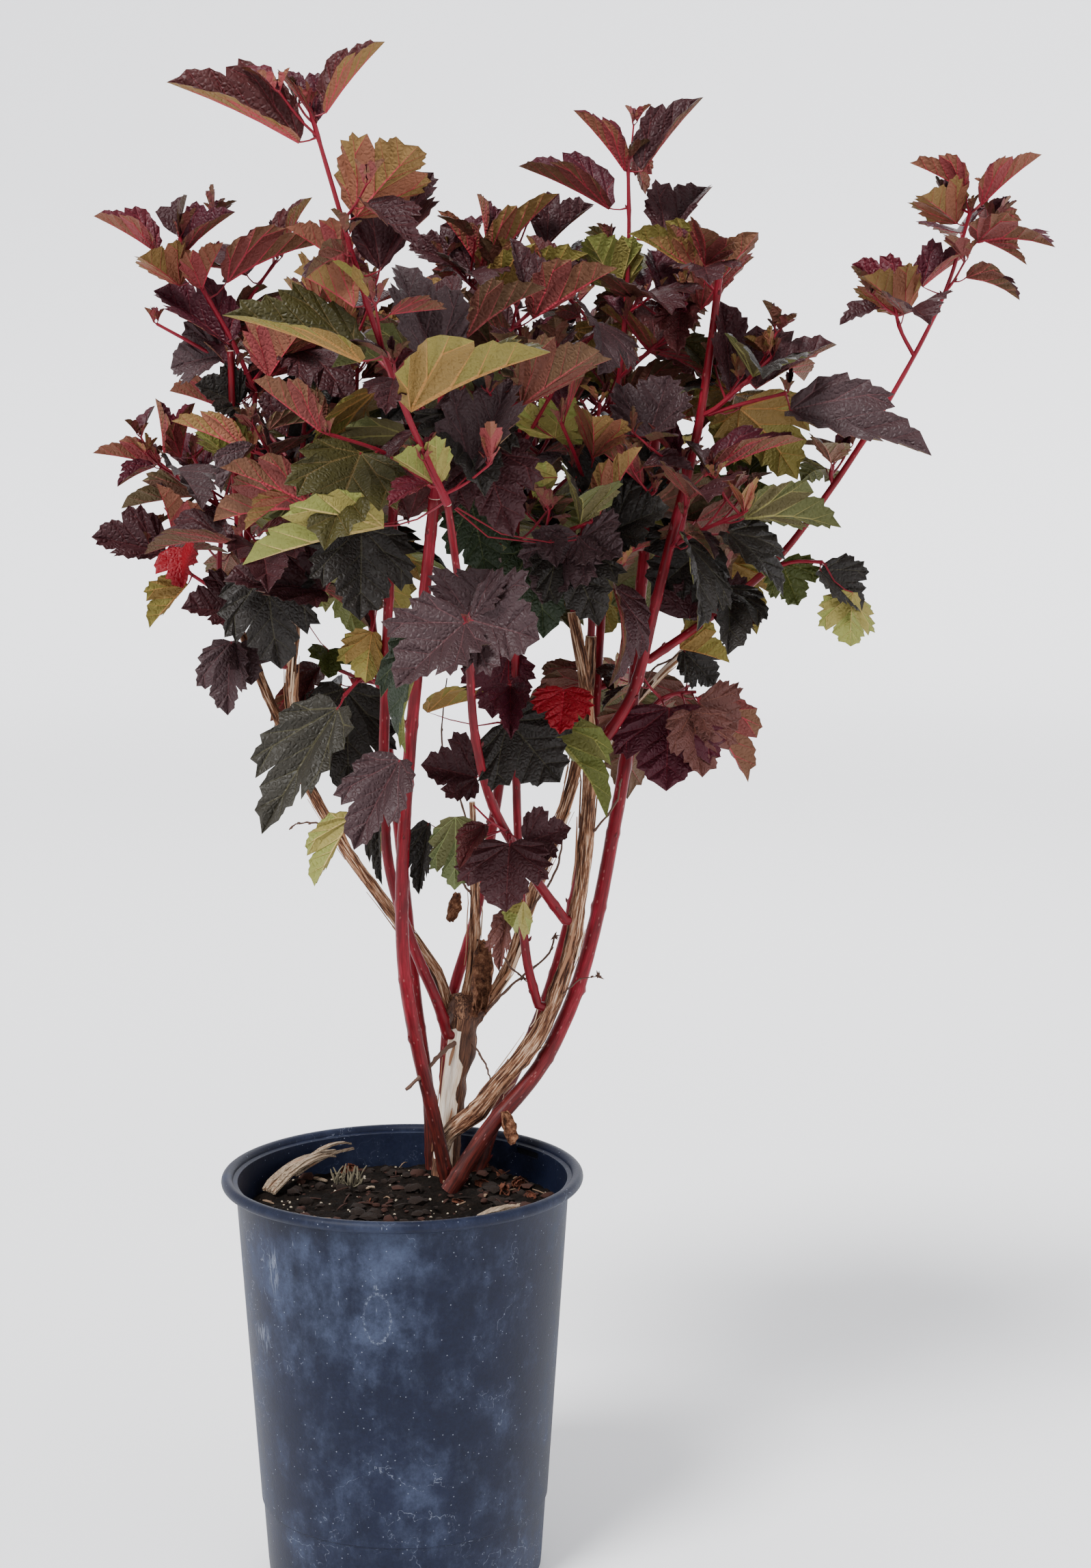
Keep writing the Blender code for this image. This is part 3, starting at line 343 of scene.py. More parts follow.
def heading_vector(degrees):
    """Level direction of a compass heading."""
    return Vector((*polar(1, math.radians(degrees)), 0))


def vector_by_chance(chance, reach):
    """A vector with each of its numbers up to a reach either way."""
    return Vector([chance.uniform(-reach, reach) for _ in range(3)])


def rising(out, lift):
    """A level direction raised by an angle."""
    return out * math.cos(lift) + UP * math.sin(lift)


def square_to(ahead, toward):
    """Direction square to the first of two, as near as it comes to the second."""
    return (toward - ahead * toward.dot(ahead)).normalized()


def between(pair, share):
    """A value between the two of a pair."""
    return pair[0] + (pair[1] - pair[0]) * share


def value_along(values, share):
    """A value at a share of the way along evenly spaced ones."""
    place = share * (len(values) - 1)
    step = int(place)
    return between((values[step], values[min(step + 1, len(values) - 1)]), place - step)


def route_length(route):
    """Length of a route."""
    return sum((b - a).length for a, b in zip(route, route[1:]))


def smooth_route(points, steps):
    """Evenly stepped points on a smooth curve through the given ones."""
    ends = [2 * points[0] - points[1], *points, 2 * points[-1] - points[-2]]
    fine = []
    for a, b, c, d in zip(ends, ends[1:], ends[2:], ends[3:]):
        for step in range(8):
            t = step / 8
            fine.append(0.5 * (2 * b + (c - a) * t + (2 * a - 5 * b + 4 * c - d) * t * t
                               + (3 * b - a - 3 * c + d) * t ** 3))
    fine.append(points[-1].copy())
    lengths = [0.0]
    for a, b in zip(fine, fine[1:]):
        lengths.append(lengths[-1] + (b - a).length)
    route = []
    place = 0
    for step in range(steps + 1):
        want = lengths[-1] * step / steps
        while place < len(fine) - 2 and lengths[place + 1] < want:
            place += 1
        share = (want - lengths[place]) / (lengths[place + 1] - lengths[place])
        route.append(fine[place].lerp(fine[place + 1], min(share, 1)))
    return route


def along_route(route, share):
    """Point and direction at a share of the way along an evenly stepped route."""
    place = min(share, 1) * (len(route) - 1)
    step = min(int(place), len(route) - 2)
    point = route[step].lerp(route[step + 1], place - step)
    return point, (route[step + 1] - route[step]).normalized()


def frames_along(route):
    """Direction, one way across and the other, at each point of a route."""
    directions = [(b - a).normalized() for a, b in zip(route, route[1:])]
    middles = [(a + b).normalized() for a, b in zip(directions, directions[1:])]
    across = directions[0].orthogonal().normalized()
    frames = []
    for tangent in (directions[0], *middles, directions[-1]):
        across = square_to(tangent, across)
        frames.append((tangent, across, tangent.cross(across)))
    return frames


def turns(sides):
    """Angles of a ring's corners."""
    return [math.tau * side / sides for side in range(sides)]


def spun(frame_here, angle):
    """Direction square to a route, turned round it by an angle."""
    return math.cos(angle) * frame_here[1] + math.sin(angle) * frame_here[2]


def ring_faces(rings, sides, first=0):
    """Faces between rings of corners, the first ring's numbers starting at first."""
    return [(start + side, start + (side + 1) % sides, start + (side + 1) % sides + sides,
             start + side + sides)
            for start in range(first, first + (rings - 1) * sides, sides) for side in range(sides)]


def closed_rings(rings, sides):
    """Faces of a closed tube of rings of corners."""
    last = (rings - 1) * sides
    return [tuple(reversed(range(sides))), *ring_faces(rings, sides),
            tuple(range(last, last + sides))]


def tube(route, radii, sides, foot_plane=None):
    """Corners and faces of a closed tube with a ring of corners at each point of the route. Its
    first ring can lie square to another direction, such as upright on level ground."""
    frames = frames_along(route)
    corners = [point + radius * spun(frame_here, angle)
               for point, radius, frame_here in zip(route, radii, frames) for angle in turns(sides)]
    if foot_plane:
        ahead = frames[0][0]
        for corner in corners[:sides]:
            corner -= ahead * ((corner - route[0]).dot(foot_plane) / ahead.dot(foot_plane))
    return corners, closed_rings(len(route), sides)


def leaf_shape(leaf, room=0.0):
    """Corners and faces of a three-sided stalk that opens into a folded blade, as one closed
    solid; room swells the blade, to test the space round it."""
    side = leaf.ahead.cross(leaf.face)
    middle = leaf.base + leaf.ahead * (SHOULDER * leaf.length)
    beyond = leaf.ahead * math.cos(leaf.curl) - leaf.face * math.sin(leaf.curl)
    half = (1 + room) * leaf.width / 2
    lifted = leaf.face * (half * math.sin(leaf.fold))
    thick = leaf.face * ((LEAF_THICKNESS + 0.2 * room) * leaf.length / 2)
    ring = (leaf.face, side * 0.87 - leaf.face * 0.5, side * -0.87 - leaf.face * 0.5)
    corners = [leaf.root + spot * STALK_ROOT for spot in ring]
    corners += [leaf.base + spot * STALK_END for spot in ring]
    spread = side * (half * math.cos(leaf.fold))
    upper = middle + beyond * ((UPPER - SHOULDER) * leaf.length) + lifted * UPPER_WIDTH
    corners += [middle + spread + lifted, middle - spread + lifted,
                middle + thick, middle - thick,
                middle + beyond * ((1 + room) * (1 - SHOULDER) * leaf.length),
                upper + spread * UPPER_WIDTH, upper - spread * UPPER_WIDTH]
    return corners, LEAF_FACES


def limb_radii(limb, length, count):
    """Radius at each of the evenly spaced points of a limb, whose length is in centimetres."""
    shares = [step / (count - 1) for step in range(count)]
    return [(between(limb.thick, share) + limb.flare * math.exp(-share * length / FLARE_FADE))
            * MM / 2 for share in shares]


# Growth

def tree_of(shape):
    """Search tree of a shape's faces."""
    corners, faces = shape
    return BVHTree.FromPolygons(corners, faces)


def merged(shapes):
    """Corners and faces of several shapes as one."""
    corners = []
    faces = []
    for some, rings in shapes:
        faces += [tuple(corner + len(corners) for corner in ring) for ring in rings]
        corners += some
    return corners, faces


def clear_of(shape, others):
    """True where a shape crosses none of the others."""
    own = tree_of(shape)
    return not any(own.overlap(other) for other in others)


def trimmed(route, radii, cut):
    """A route without the first stretch of the given length."""
    place = 0
    while place < len(route) - 2 and (route[place + 1] - route[place]).length <= cut:
        cut -= (route[place + 1] - route[place]).length
        place += 1
    start = route[place] + (route[place + 1] - route[place]).normalized() * cut
    return [start, *route[place + 1:]], radii[place:]


def nearest_on_route(route, point):
    """The place on a route nearest to a point."""
    places = [a + (b - a) * clamp((point - a).dot(b - a) / (b - a).length_squared)
              for a, b in zip(route, route[1:])]
    return min(places, key=lambda place: (place - point).length)


def seated(name, points, radii, sides, carrier):
    """Route, radii and foot plane of a branch, just clear of the limb that carries it: end to
    end on its tip, or cut back to its side."""
    route, thick, carrier_sides = carrier
    steps = len(radii) - 1
    if (points[0] - route[-1]).length < TIP_REACH:
        end = (route[-1] - route[-2]).normalized()
        return smooth_route([route[-1] + end * GAP, *points[1:]], steps), radii, end
    grown = smooth_route([nearest_on_route(route, points[0]), *points[1:]], steps)
    carrier_shape = tube(route, [radius + GAP for radius in thick], carrier_sides)
    parent = tree_of(carrier_shape)
    for step in range(1, 200):
        short, thin = trimmed(grown, radii, step * SEAT_STEP)
        if tree_of(tube(short, thin, sides)).overlap(parent):
            continue
        near = parent.find_nearest(short[0])
        if (short[0] - near[0]).dot(near[1]) > 0:
            return short, thin, None
    raise RuntimeError(f"{name} finds no seat")


def limb_plan(limb, routes):
    """Tube of a limb, seated on the one that carries it, and the room that it takes."""
    points = [Vector(p) * CM for p in limb.route]
    steps = max(4, min(10, round(route_length(points) / RING_SPACING)))
    sides = 8 if limb.thick[0] > 15 else 6
    radii = limb_radii(limb, route_length([Vector(p) for p in limb.route]), steps + 1)
    if limb.parent:
        route, radii, plane = seated(limb.name, points, radii, sides, routes[limb.parent])
    else:
        route, plane = smooth_route(points, steps), UP
    routes[limb.name] = (route, radii, sides)
    return tube(route, [radius + GAP for radius in radii], sides, plane)


def side_route(stem, side, swing, chance):
    """Route of a side shoot: it leaves with the stem's own lean and bends to its heading."""
    start, forward = along_route(stem, side.along)
    out = heading_vector(side.heading + swing + chance.uniform(-6, 6))
    lean = math.radians(side.lean)
    first = (forward + 1.1 * out).normalized()
    last = (out * math.sin(lean) + UP * math.cos(lean)).normalized()
    steps = len(TWIG_RADII) - 1
    reach = side.length * CM / steps
    route = [start]
    for step in range(steps):
        route.append(route[-1] + first.slerp(last, (step + 0.5) / steps) * reach)
    return route


def grow_leaf(route, share, age, heading, rise, blade, chance):
    """One leaf on a twig: young ones stand up folded, old ones spread and droop."""
    node, forward = along_route(route, share)
    out = heading_vector(heading)
    lift = math.radians(between(rise, age) + chance.uniform(-LIFT_SPREAD, LIFT_SPREAD))
    ahead = rising(out, lift)
    length = blade * CM * (0.92 + 0.16 * math.sin(math.pi * age) - 0.20 * age * age)
    length *= chance.uniform(0.88, 1.08)
    stalk = (forward * 0.5 + out * 0.6 + ahead * 0.5).normalized()
    base = node + stalk * (length * between(STALK_SHARE, age))
    roll = math.radians(chance.uniform(-ROLL_SPREAD, ROLL_SPREAD))
    face = Matrix.Rotation(roll, 3, ahead) @ square_to(ahead, UP)
    fold = math.radians(between(FOLD, age) + chance.uniform(-7, 7))
    curl = math.radians(between(CURL, age) + chance.uniform(-12, 12))
    width = length * between(WIDTH_SHARE, age) * chance.uniform(0.94, 1.06)
    return Leaf(node, base, ahead, face, length, width, fold, curl, age)


def leaves_on(route, count, blade, turn, rise, bare, chance, blocked, twigs, own):
    """Leaves up a twig at the usual turn; one with no free place is left out. Its stalk may
    start in a twig of its mass, its blade keeps clear of them all."""
    grown = []
    for number in range(count):
        age = number / max(count - 1, 1)
        share = bare + (LAST_NODE - bare) * (number + 0.4) / (count - 0.6 if count > 1 else 1)
        for attempt in range(TRIES):
            swing = attempt * (-1) ** attempt * RETRY_TURN
            heading = turn + LEAF_TURN * number + swing
            heading += chance.uniform(-TURN_SPREAD, TURN_SPREAD)
            leaf = grow_leaf(route, min(share, LAST_NODE), age, heading, rise, blade, chance)
            shape = leaf_shape(leaf, LEAF_ROOM)
            blade_shape = leaf_shape(replace(leaf, root=leaf.base - leaf.ahead * MM), LEAF_ROOM)
            if clear_of(shape, blocked + own) and clear_of(blade_shape, twigs):
                grown.append(leaf)
                own.append(tree_of(shape))
                break
    return grown


def stem_plan(mass, routes):
    """Route and tube of a mass's stem."""
    points = [Vector(p) * CM for p in mass.route]
    steps = 2 * len(points) - 1
    radii = [between(mass.thick, step / steps) * MM / 2 for step in range(steps + 1)]
    route, radii, plane = seated(mass.name, points, radii, STEM_SIDES, routes[mass.limb])
    return route, tube(route, radii, STEM_SIDES, plane)


def mass_plan(mass, stem, stem_tube, blocked):
    """Tubes of a mass's twigs and its sprays, each the route of a twig and the leaves on it, and
    the places that its leaves take."""
    chance = random.Random(mass.name)
    twigs, sprays, own = [stem_tube], [], []
    plans = [(stem, mass.leaves, mass.blade, mass.turn, mass.bare)]
    for side in mass.sides:
        for swing in (0, 14, -14, 28, -28):
            route = side_route(stem, Side(*side), swing, chance)
            shape = tube(route, TWIG_RADII, 3)
            if clear_of(shape, blocked):
                twigs.append(shape)
                plans.append((route, *side[4:], SIDE_BARE))
                break
    trees = [tree_of(twig) for twig in twigs]
    for route, count, blade, turn, bare in plans:
        sprays.append((route, leaves_on(route, count, blade, turn, mass.rise, bare, chance,
                                        blocked, trees, own)))
    return twigs, sprays, own


# Materials

class Shading:
    """A socket among a material's nodes. Arithmetic on it adds Math nodes."""

    def __init__(self, tree, socket=None):
        self.tree = tree
        self.socket = socket

    def node(self, kind, inputs=None, output=0, stops=(), **settings):
        """A node of a type: its settings and ramp stops first, then its sockets."""
        made = self.tree.nodes.new("ShaderNode" + kind)
        for name, value in settings.items():
            setattr(made, name, value)
        for number, (place, colour) in enumerate(stops):
            ramp = made.color_ramp.elements
            element = ramp[number] if number < len(ramp) else ramp.new(1.0)
            element.position = place
            element.color = opaque(colour)
        for name, value in (inputs or {}).items():
            if isinstance(value, Shading):
                self.tree.links.new(value.socket, made.inputs[name])
            else:
                made.inputs[name].default_value = value
        return Shading(self.tree, made.outputs[output])

    def math(self, operation, first, second):
        return self.node("Math", {0: first, 1: second}, operation=operation)

    def __add__(self, other):
        return self.math("ADD", self, other)

    def __sub__(self, other):
        return self.math("SUBTRACT", self, other)

    def __mul__(self, other):
        return self.math("MULTIPLY", self, other)

    def __rsub__(self, other):
        return self.math("SUBTRACT", other, self)

    __radd__ = __add__
    __rmul__ = __mul__

    def size(self):
        """The value without its sign."""
        return self.math("ABSOLUTE", self, 0.0)

    def step(self, low, high):
        """0 below low, 1 above high and smooth between."""
        return self.node("MapRange", {"Value": self, "From Min": low, "From Max": high},
                         interpolation_type="SMOOTHSTEP")

    def vector(self, operation, other=None, output=0):
        """Arithmetic on a place."""
        inputs = {0: self} if other is None else {0: self, 1: other}
        return self.node("VectorMath", inputs, output, operation=operation)

    def stretched(self, *scale):
        """A place with each of its three directions scaled."""
        return self.vector("MULTIPLY", scale)

    def part(self, axis):
        """One of the three numbers of a place."""
        return self.node("SeparateXYZ", {0: self}, axis)

    def noise(self, size, detail=3.0, rough=0.55):
        """Soft noise between 0 and 1 with features of about the given size in millimetres."""
        return self.node("TexNoise", {"Vector": self, "Scale": 1 / (size * MM), "Detail": detail,
                                      "Roughness": rough})

    def cells(self, size, feature="F1"):
        """Distance to the nearest of scattered points, or to the edges between their cells."""
        return self.node("TexVoronoi", {"Vector": self, "Scale": 1 / (size * MM)}, feature=feature)

    def mix(self, low, high):
        """A colour between two, with this socket as the share of the second."""
        low, high = (end if isinstance(end, Shading) else opaque(end) for end in (low, high))
        return self.node("Mix", {0: self, 6: low, 7: high}, 2, data_type="RGBA")


def start_material(name, roughness, specular, colour=None):
    """A new Principled material and its shading."""
    made = bpy.data.materials.new(name)
    made.use_nodes = True
    inputs = made.node_tree.nodes["Principled BSDF"].inputs
    inputs["Roughness"].default_value = roughness
    inputs["Specular IOR Level"].default_value = specular
    if colour is not None:
        inputs["Base Color"].default_value = opaque(colour)
    return made, Shading(made.node_tree)


def feed(made, shading, colour, roughness, height, relief):
    """A material fed with its colour, roughness and raised detail, whose full height in
    millimetres is relief."""
    bump = shading.node("Bump", {"Height": height, "Distance": relief * MM})
    for name, source in (("Base Color", colour), ("Roughness", roughness), ("Normal", bump)):
        if source is not None:
            inputs = made.node_tree.nodes["Principled BSDF"].inputs
            made.node_tree.links.new(source.socket, inputs[name])
    return made


def opaque(colour):
    """A colour property as a node's colour."""
    return (*colour[:3], 1.0)


def object_place(shading):
    """The place on a piece."""
    return shading.node("TexCoord", output="Object")


def grain_place(shading):
    """The place on a limb as if it were straightened to stand upright at the origin."""
    return shading.node("Attribute", output="Vector", attribute_name="grain")


def worn(shading):
    """How far a limb's bark has gone from a place, from 0 to 1."""
    return shading.node("Attribute", output="Fac", attribute_name="worn")


def red_bark(settings):
    """Smooth red bark with fine long streaks, pale specks and a dull bloom; at the foot browner,
    and darker as painted shade.
    """
    made, shading = start_material("red_bark", 0.4, 0.2)
    grain = grain_place(shading)
    height = object_place(shading).part("Z")
    streaks = grain.stretched(1, 1, 0.07).noise(1.6, 4.0, 0.65)
    patches = grain.stretched(1, 1, 0.3).noise(10)
    specks = 1 - grain.stretched(1, 1, 0.45).cells(4.2).step(0.10, 0.18)
    colour = (streaks * 0.5 + patches * 0.5).step(0.38, 0.62).mix(settings.red_deep, settings.red)
    colour = (patches * streaks).step(0.29, 0.42).mix(colour, settings.bloom)
    # Dark red-brown low on the canes: older bark, with painted shade near the mix.
    foot = streaks.step(0.4, 0.6).mix(settings.foot_dark_and_shade, settings.foot)
    colour = (1 - height.step(0.31, 0.47)).mix(colour, foot)
    colour = (specks * 0.34).mix(colour, settings.speck)
    return feed(made, shading, colour, 0.30 + patches * 0.24, streaks * 0.6 + specks, 0.2)


def brown_bark(settings):
    """Old brown bark that comes off in long fibres, pale where it has lifted."""
    made, shading = start_material("brown_bark", 0.85, 0.2)
    grain = grain_place(shading)
    fibres = grain.stretched(1, 1, 0.07).noise(1.1, 5.0, 0.7)
    plates = grain.stretched(1, 1, 0.10).noise(3.4, 3.0, 0.6)
    tone = fibres * 0.62 + plates * 0.38
    colour = shading.node("ValToRGB", {0: tone}, stops=(
        (0.43, settings.fissure), (0.485, settings.brown), (0.54, settings.tan),
        (0.60, settings.fibre)))
    colour = (worn(shading) * fibres.step(0.40, 0.58)).mix(colour, settings.wood_shade)
    return feed(made, shading, colour, 0.75 + fibres * 0.2, tone, 2.2)


def pale_wood(settings):
    """Bare wood of the stump with ragged bark left along it, and of cut and dead ends."""
    made, shading = start_material("pale_wood", 0.7, 0.3)
    grain = grain_place(shading)
    fibres = grain.stretched(1, 1, 0.05).noise(0.8, 4.0, 0.6)
    stains = grain.stretched(1, 1, 0.16).noise(6)
    colour = (fibres * 0.5 + stains * 0.5).step(0.40, 0.60).mix(settings.wood_shade, settings.wood)
    colour = (stains.step(0.56, 0.72) * 0.45).mix(colour, settings.tan)
    bark = fibres.step(0.35, 0.65).mix(settings.fissure, settings.brown)
    bark = (fibres * stains).step(0.28, 0.4).mix(bark, settings.tan)
    colour = worn(shading).step(0.40, 0.55).mix(bark, colour)
    return feed(made, shading, colour, 0.6 + stains * 0.25, fibres, 0.5)


def cut_wood(settings):
    """The sawn or snapped end of a limb, uneven and weathered."""
    made, shading = start_material("cut_wood", 0.8, 0.2)
    rough = object_place(shading).noise(0.8, 4.0)
    colour = rough.step(0.35, 0.65).mix(settings.wood_shade, settings.wood)
    return feed(made, shading, colour, 0.7 + rough * 0.2, rough, 0.4)


def split_wood(settings):
    """Grey split wood, its grain along the longest chip."""
    made, shading = start_material("split_wood", 0.8, 0.15)
    place = object_place(shading)
    ways = [place.vector("DOT_PRODUCT", way, "Value")
            for way in ((-0.81, 0.57, 0.1), (0.05, -0.1, 0.99), (0.04, 0.055, 0.01))]
    grain = shading.node("CombineXYZ", dict(enumerate(ways)))
    fibres = grain.noise(0.8, 4.0, 0.65)
    colour = fibres.step(0.36, 0.62).mix(settings.chip_dark, settings.chip)
    colour = (grain.noise(4).step(0.55, 0.7) * 0.6).mix(colour, settings.tan)
    return feed(made, shading, colour, 0.7 + fibres * 0.2, fibres, 0.8)


def dried_leaf(settings, name, middle, pale):
    """A dead curled leaf with dark blotches and paler worn folds."""
    made, shading = start_material(name, 0.8, 0.15)
    place = object_place(shading)
    blotches = place.noise(5, 4.0, 0.65)
    fine = place.noise(1.2)
    colour = shading.node("ValToRGB", {0: blotches * 0.75 + fine * 0.25}, stops=(
        (0.38, settings.fissure), (0.50, middle), (0.66, pale)))
    return feed(made, shading, colour, 0.7 + fine * 0.2, blotches + fine * 0.5, 0.5)


def plain_plant(name, colour, roughness, size, relief):
    """A plain plant colour with fine relief and uneven gloss."""
    made, shading = start_material(name, roughness, 0.2, colour)
    place = object_place(shading)
    grain = place.noise(size)
    patches = place.noise(12, 2.0)
    return feed(made, shading, None, (roughness - 0.1) + patches * 0.2, grain, relief)


def leaf_face(name, colour, roughness, relief):
    """One plain tint of a leaf's face, quilted between its finest veins."""
    made, shading = start_material(name, roughness, 0.2, colour)
    place = object_place(shading)
    quilt = place.cells(3.6, "DISTANCE_TO_EDGE").step(0.0, 0.35)
    crumple = place.noise(1.6, 2.0)
    patches = place.noise(14, 2.0)
    return feed(made, shading, None, (roughness - 0.14) + patches * 0.28,
                quilt + crumple * 0.5, relief / MM)


# Making meshes

class Sheaf:
    """Corners and faces of many small shapes that become one piece, with a material number for
    each face and, where asked, a straightened place and wear for each corner."""

    def __init__(self):
        self.corners = []
        self.faces = []
        self.kinds = []
        self.grain = []
        self.worn = []

    def add(self, corners, faces, kind=0, grain=(), wear=()):
        """Put in one shape; kind is one number or one for each face."""
        first = len(self.corners)
        self.corners += corners
        self.faces += [tuple(corner + first for corner in face) for face in faces]
        self.kinds += [kind] * len(faces) if isinstance(kind, int) else list(kind)
        self.grain += grain
        self.worn += wear

    def piece(self, name, materials, smooth_angle=50):
        """The finished piece, shown in the scene."""
        mesh = bpy.data.meshes.new(name)
        mesh.from_pydata([tuple(corner) for corner in self.corners], [], self.faces)
        for finish in materials:
            mesh.materials.append(finish)
        mesh.polygons.foreach_set("material_index", self.kinds)
        if self.grain:
            places = mesh.attributes.new("grain", "FLOAT_VECTOR", "POINT")
            places.data.foreach_set("vector", [value for spot in self.grain for value in spot])
            wear = mesh.attributes.new("worn", "FLOAT", "POINT")
            wear.data.foreach_set("value", self.worn)
        mesh.update()
        made = bpy.data.objects.new(name, mesh)
        bpy.context.scene.collection.objects.link(made)
        mesh.shade_smooth()
        mesh.set_sharp_from_angle(angle=math.radians(smooth_angle))
        return made


def settle(piece, slot, nodes=()):
    """Put a finished piece on the plant's body in place of its CAD nodes."""
    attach(piece, BODY)
    if nodes:
        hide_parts(*nodes)


def bud(point, ahead, out, length, radius):
    """A pointed scaly bud that lies against its twig."""
    tip = (ahead + 0.5 * out).normalized()
    route = [point - tip * (0.2 * length), *(point + tip * (share * length)
                                             for share in (0.15, 0.5, 0.8, 1))]
    return tube(route, [share * radius for share in (0.5, 1, 0.85, 0.45, 0.08)], 6)


# Bark

NODE_SPACING = (4.2 * CM, 7.0 * CM)


def cane_nodes(limb, length):
    """Places of a red cane's nodes along it and the angle of each one's scar."""
    chance = random.Random(limb.name + " nodes")
    nodes = []
    place = 1.6 * CM
    angle = chance.uniform(0, 360)
    while place < length - 0.8 * CM:
        nodes.append((place, math.radians(angle)))
        place += chance.uniform(*NODE_SPACING)
        angle += LEAF_TURN
    return nodes


def red_relief(place, angle, radius, nodes, seed):
    """Share that a red cane swells by at a place: its nodes, faint ribs and unevenness."""
    swell = 0.0
    for spot, scar in nodes:
        away = (place - spot) / (2.6 * MM)
        if abs(away) < 3:
            swell += 0.10 * math.exp(-away * away)
            below = (place - spot + 1.5 * MM) / (2.2 * MM)
            swell += 0.20 * math.exp(-below * below) * max(0, math.cos(angle - scar)) ** 3
    ribs = 0.016 * math.cos(5 * angle + 6 * place)
    spot = Vector((math.cos(angle), math.sin(angle), place / radius * 0.35))
    return swell + ribs + 0.035 * noise.noise(spot * 1.3 + seed), 0.0


def bark_noise(angle, place, rate, run, seed):
    """Noise on a limb's side, at a rate round it and over a run in millimetres along it."""
    around = Vector((*polar(1, angle), 0))
    return noise.noise(around * rate + Vector((0, 0, place / (run * MM))) + seed)


def bump_at(place, middle, run):
    """1 at a middle along a limb, falling off over a run."""
    return math.exp(-((place - middle) / run) ** 2)


def brown_relief(place, angle, radius, nodes, seed):
    """Share that old bark stands out by: long lifted fibres over deep fissures, with knots."""
    long = bark_noise(angle, place, 2.6, 32, seed)
    fine = bark_noise(angle, place, 7.0, 14, seed)
    lifted = bark_noise(angle, place, 1.5, 24, 2 * seed)
    plate = 0.14 * clamp((lifted + 0.05) * 7)
    knot = sum(0.16 * bump_at(place, spot, 4 * MM) * (0.5 + 0.5 * math.cos(angle - scar))
               for spot, scar in nodes)
    torn = clamp(0.4 * long - place / (12 * MM))
    lumps = 0.3 * torn * bark_noise(angle, place, 2.4, 8, seed)
    return 0.09 * long + 0.06 * fine + plate - 0.08 + knot + lumps, torn


def dead_relief(place, angle, radius, nodes, seed):
    """Share that bare dead wood stands out by, and how bare it is."""
    long = bark_noise(angle, place, 1.8, 40, seed)
    bare = clamp(0.5 + 4.0 * (bark_noise(angle, place, 1.2, 22, 3 * seed) + 0.12))
    return 0.06 * long + 0.10 * (1 - bare), bare


STUMP_BARK_ANGLE = math.radians(-60)
STUMP_HOLLOW = 8.6 * CM
STUMP_KNOT = 11 * CM
# Rings that close the stump's knotty head, above its end: rise and share of its radius
STUMP_HEAD = ((4 * MM, 1.12), (8 * MM, 1.2), (12 * MM, 1.12), (16 * MM, 0.86), (19 * MM, 0.5))
# Torn feet of boughs that run on down the stump, in centimetres
TORN_FEET = {"bough_brown_right": ((2.7, 7.0, 30.6), (2.9, 6.6, 32.0), (3.4, 6.35, 33.2))}
FOOT_STEPS = 9


def stump_relief(place, angle, radius, nodes, seed):
    """Share that the peeled stump stands out by: smooth wood, a strip of bark down its right
    side and a knotty barked head."""
    ragged = bark_noise(angle, place, 1.6, 18, seed)
    widened = clamp((place - STUMP_HOLLOW) / (2 * CM))
    strip = math.cos(angle - STUMP_BARK_ANGLE) - 0.70 + 0.4 * ragged + 0.35 * widened
    head = (place - 12.9 * CM) / (0.8 * CM) + 1.2 * ragged
    foot = (1.8 * CM - place) / (1.5 * CM) + 1.2 * ragged
    bark = clamp(0.5 + 3.2 * max(strip, head, foot))
    knotty = bark_noise(angle, place, 2.4, 9, 2 * seed)
    facing = max(0.0, math.cos(angle - STUMP_BARK_ANGLE))
    hollow = -0.30 * bump_at(place, STUMP_HOLLOW, 6 * MM) * facing ** 6
    knot = 0.34 * bump_at(place, STUMP_KNOT, 11 * MM) * facing ** 2
    lump = 0.14 * clamp(head) * (1 + 2.6 * knotty)
    return 0.02 * ragged + bark * (0.08 + 0.14 * knotty) + hollow + knot + lump, 1 - bark


RELIEFS = {BARK_RED: red_relief, BARK_BROWN: brown_relief, BARK_PALE: dead_relief}
SLOT_BARK = {BARK_RED: "red_bark", BARK_BROWN: "brown_bark", BARK_PALE: "pale_wood"}


def sunk_start(route, carrier):
    """A route whose first point is moved into the limb that carries it."""
    if carrier is None:
        return route
    near = nearest_on_route(carrier[0], route[0])
    into = near - route[0]
    if into.length < 1.5 * MM:
        into = (route[0] - route[1]).normalized() * 4 * MM
    return [route[0] + into * 0.8, *route]


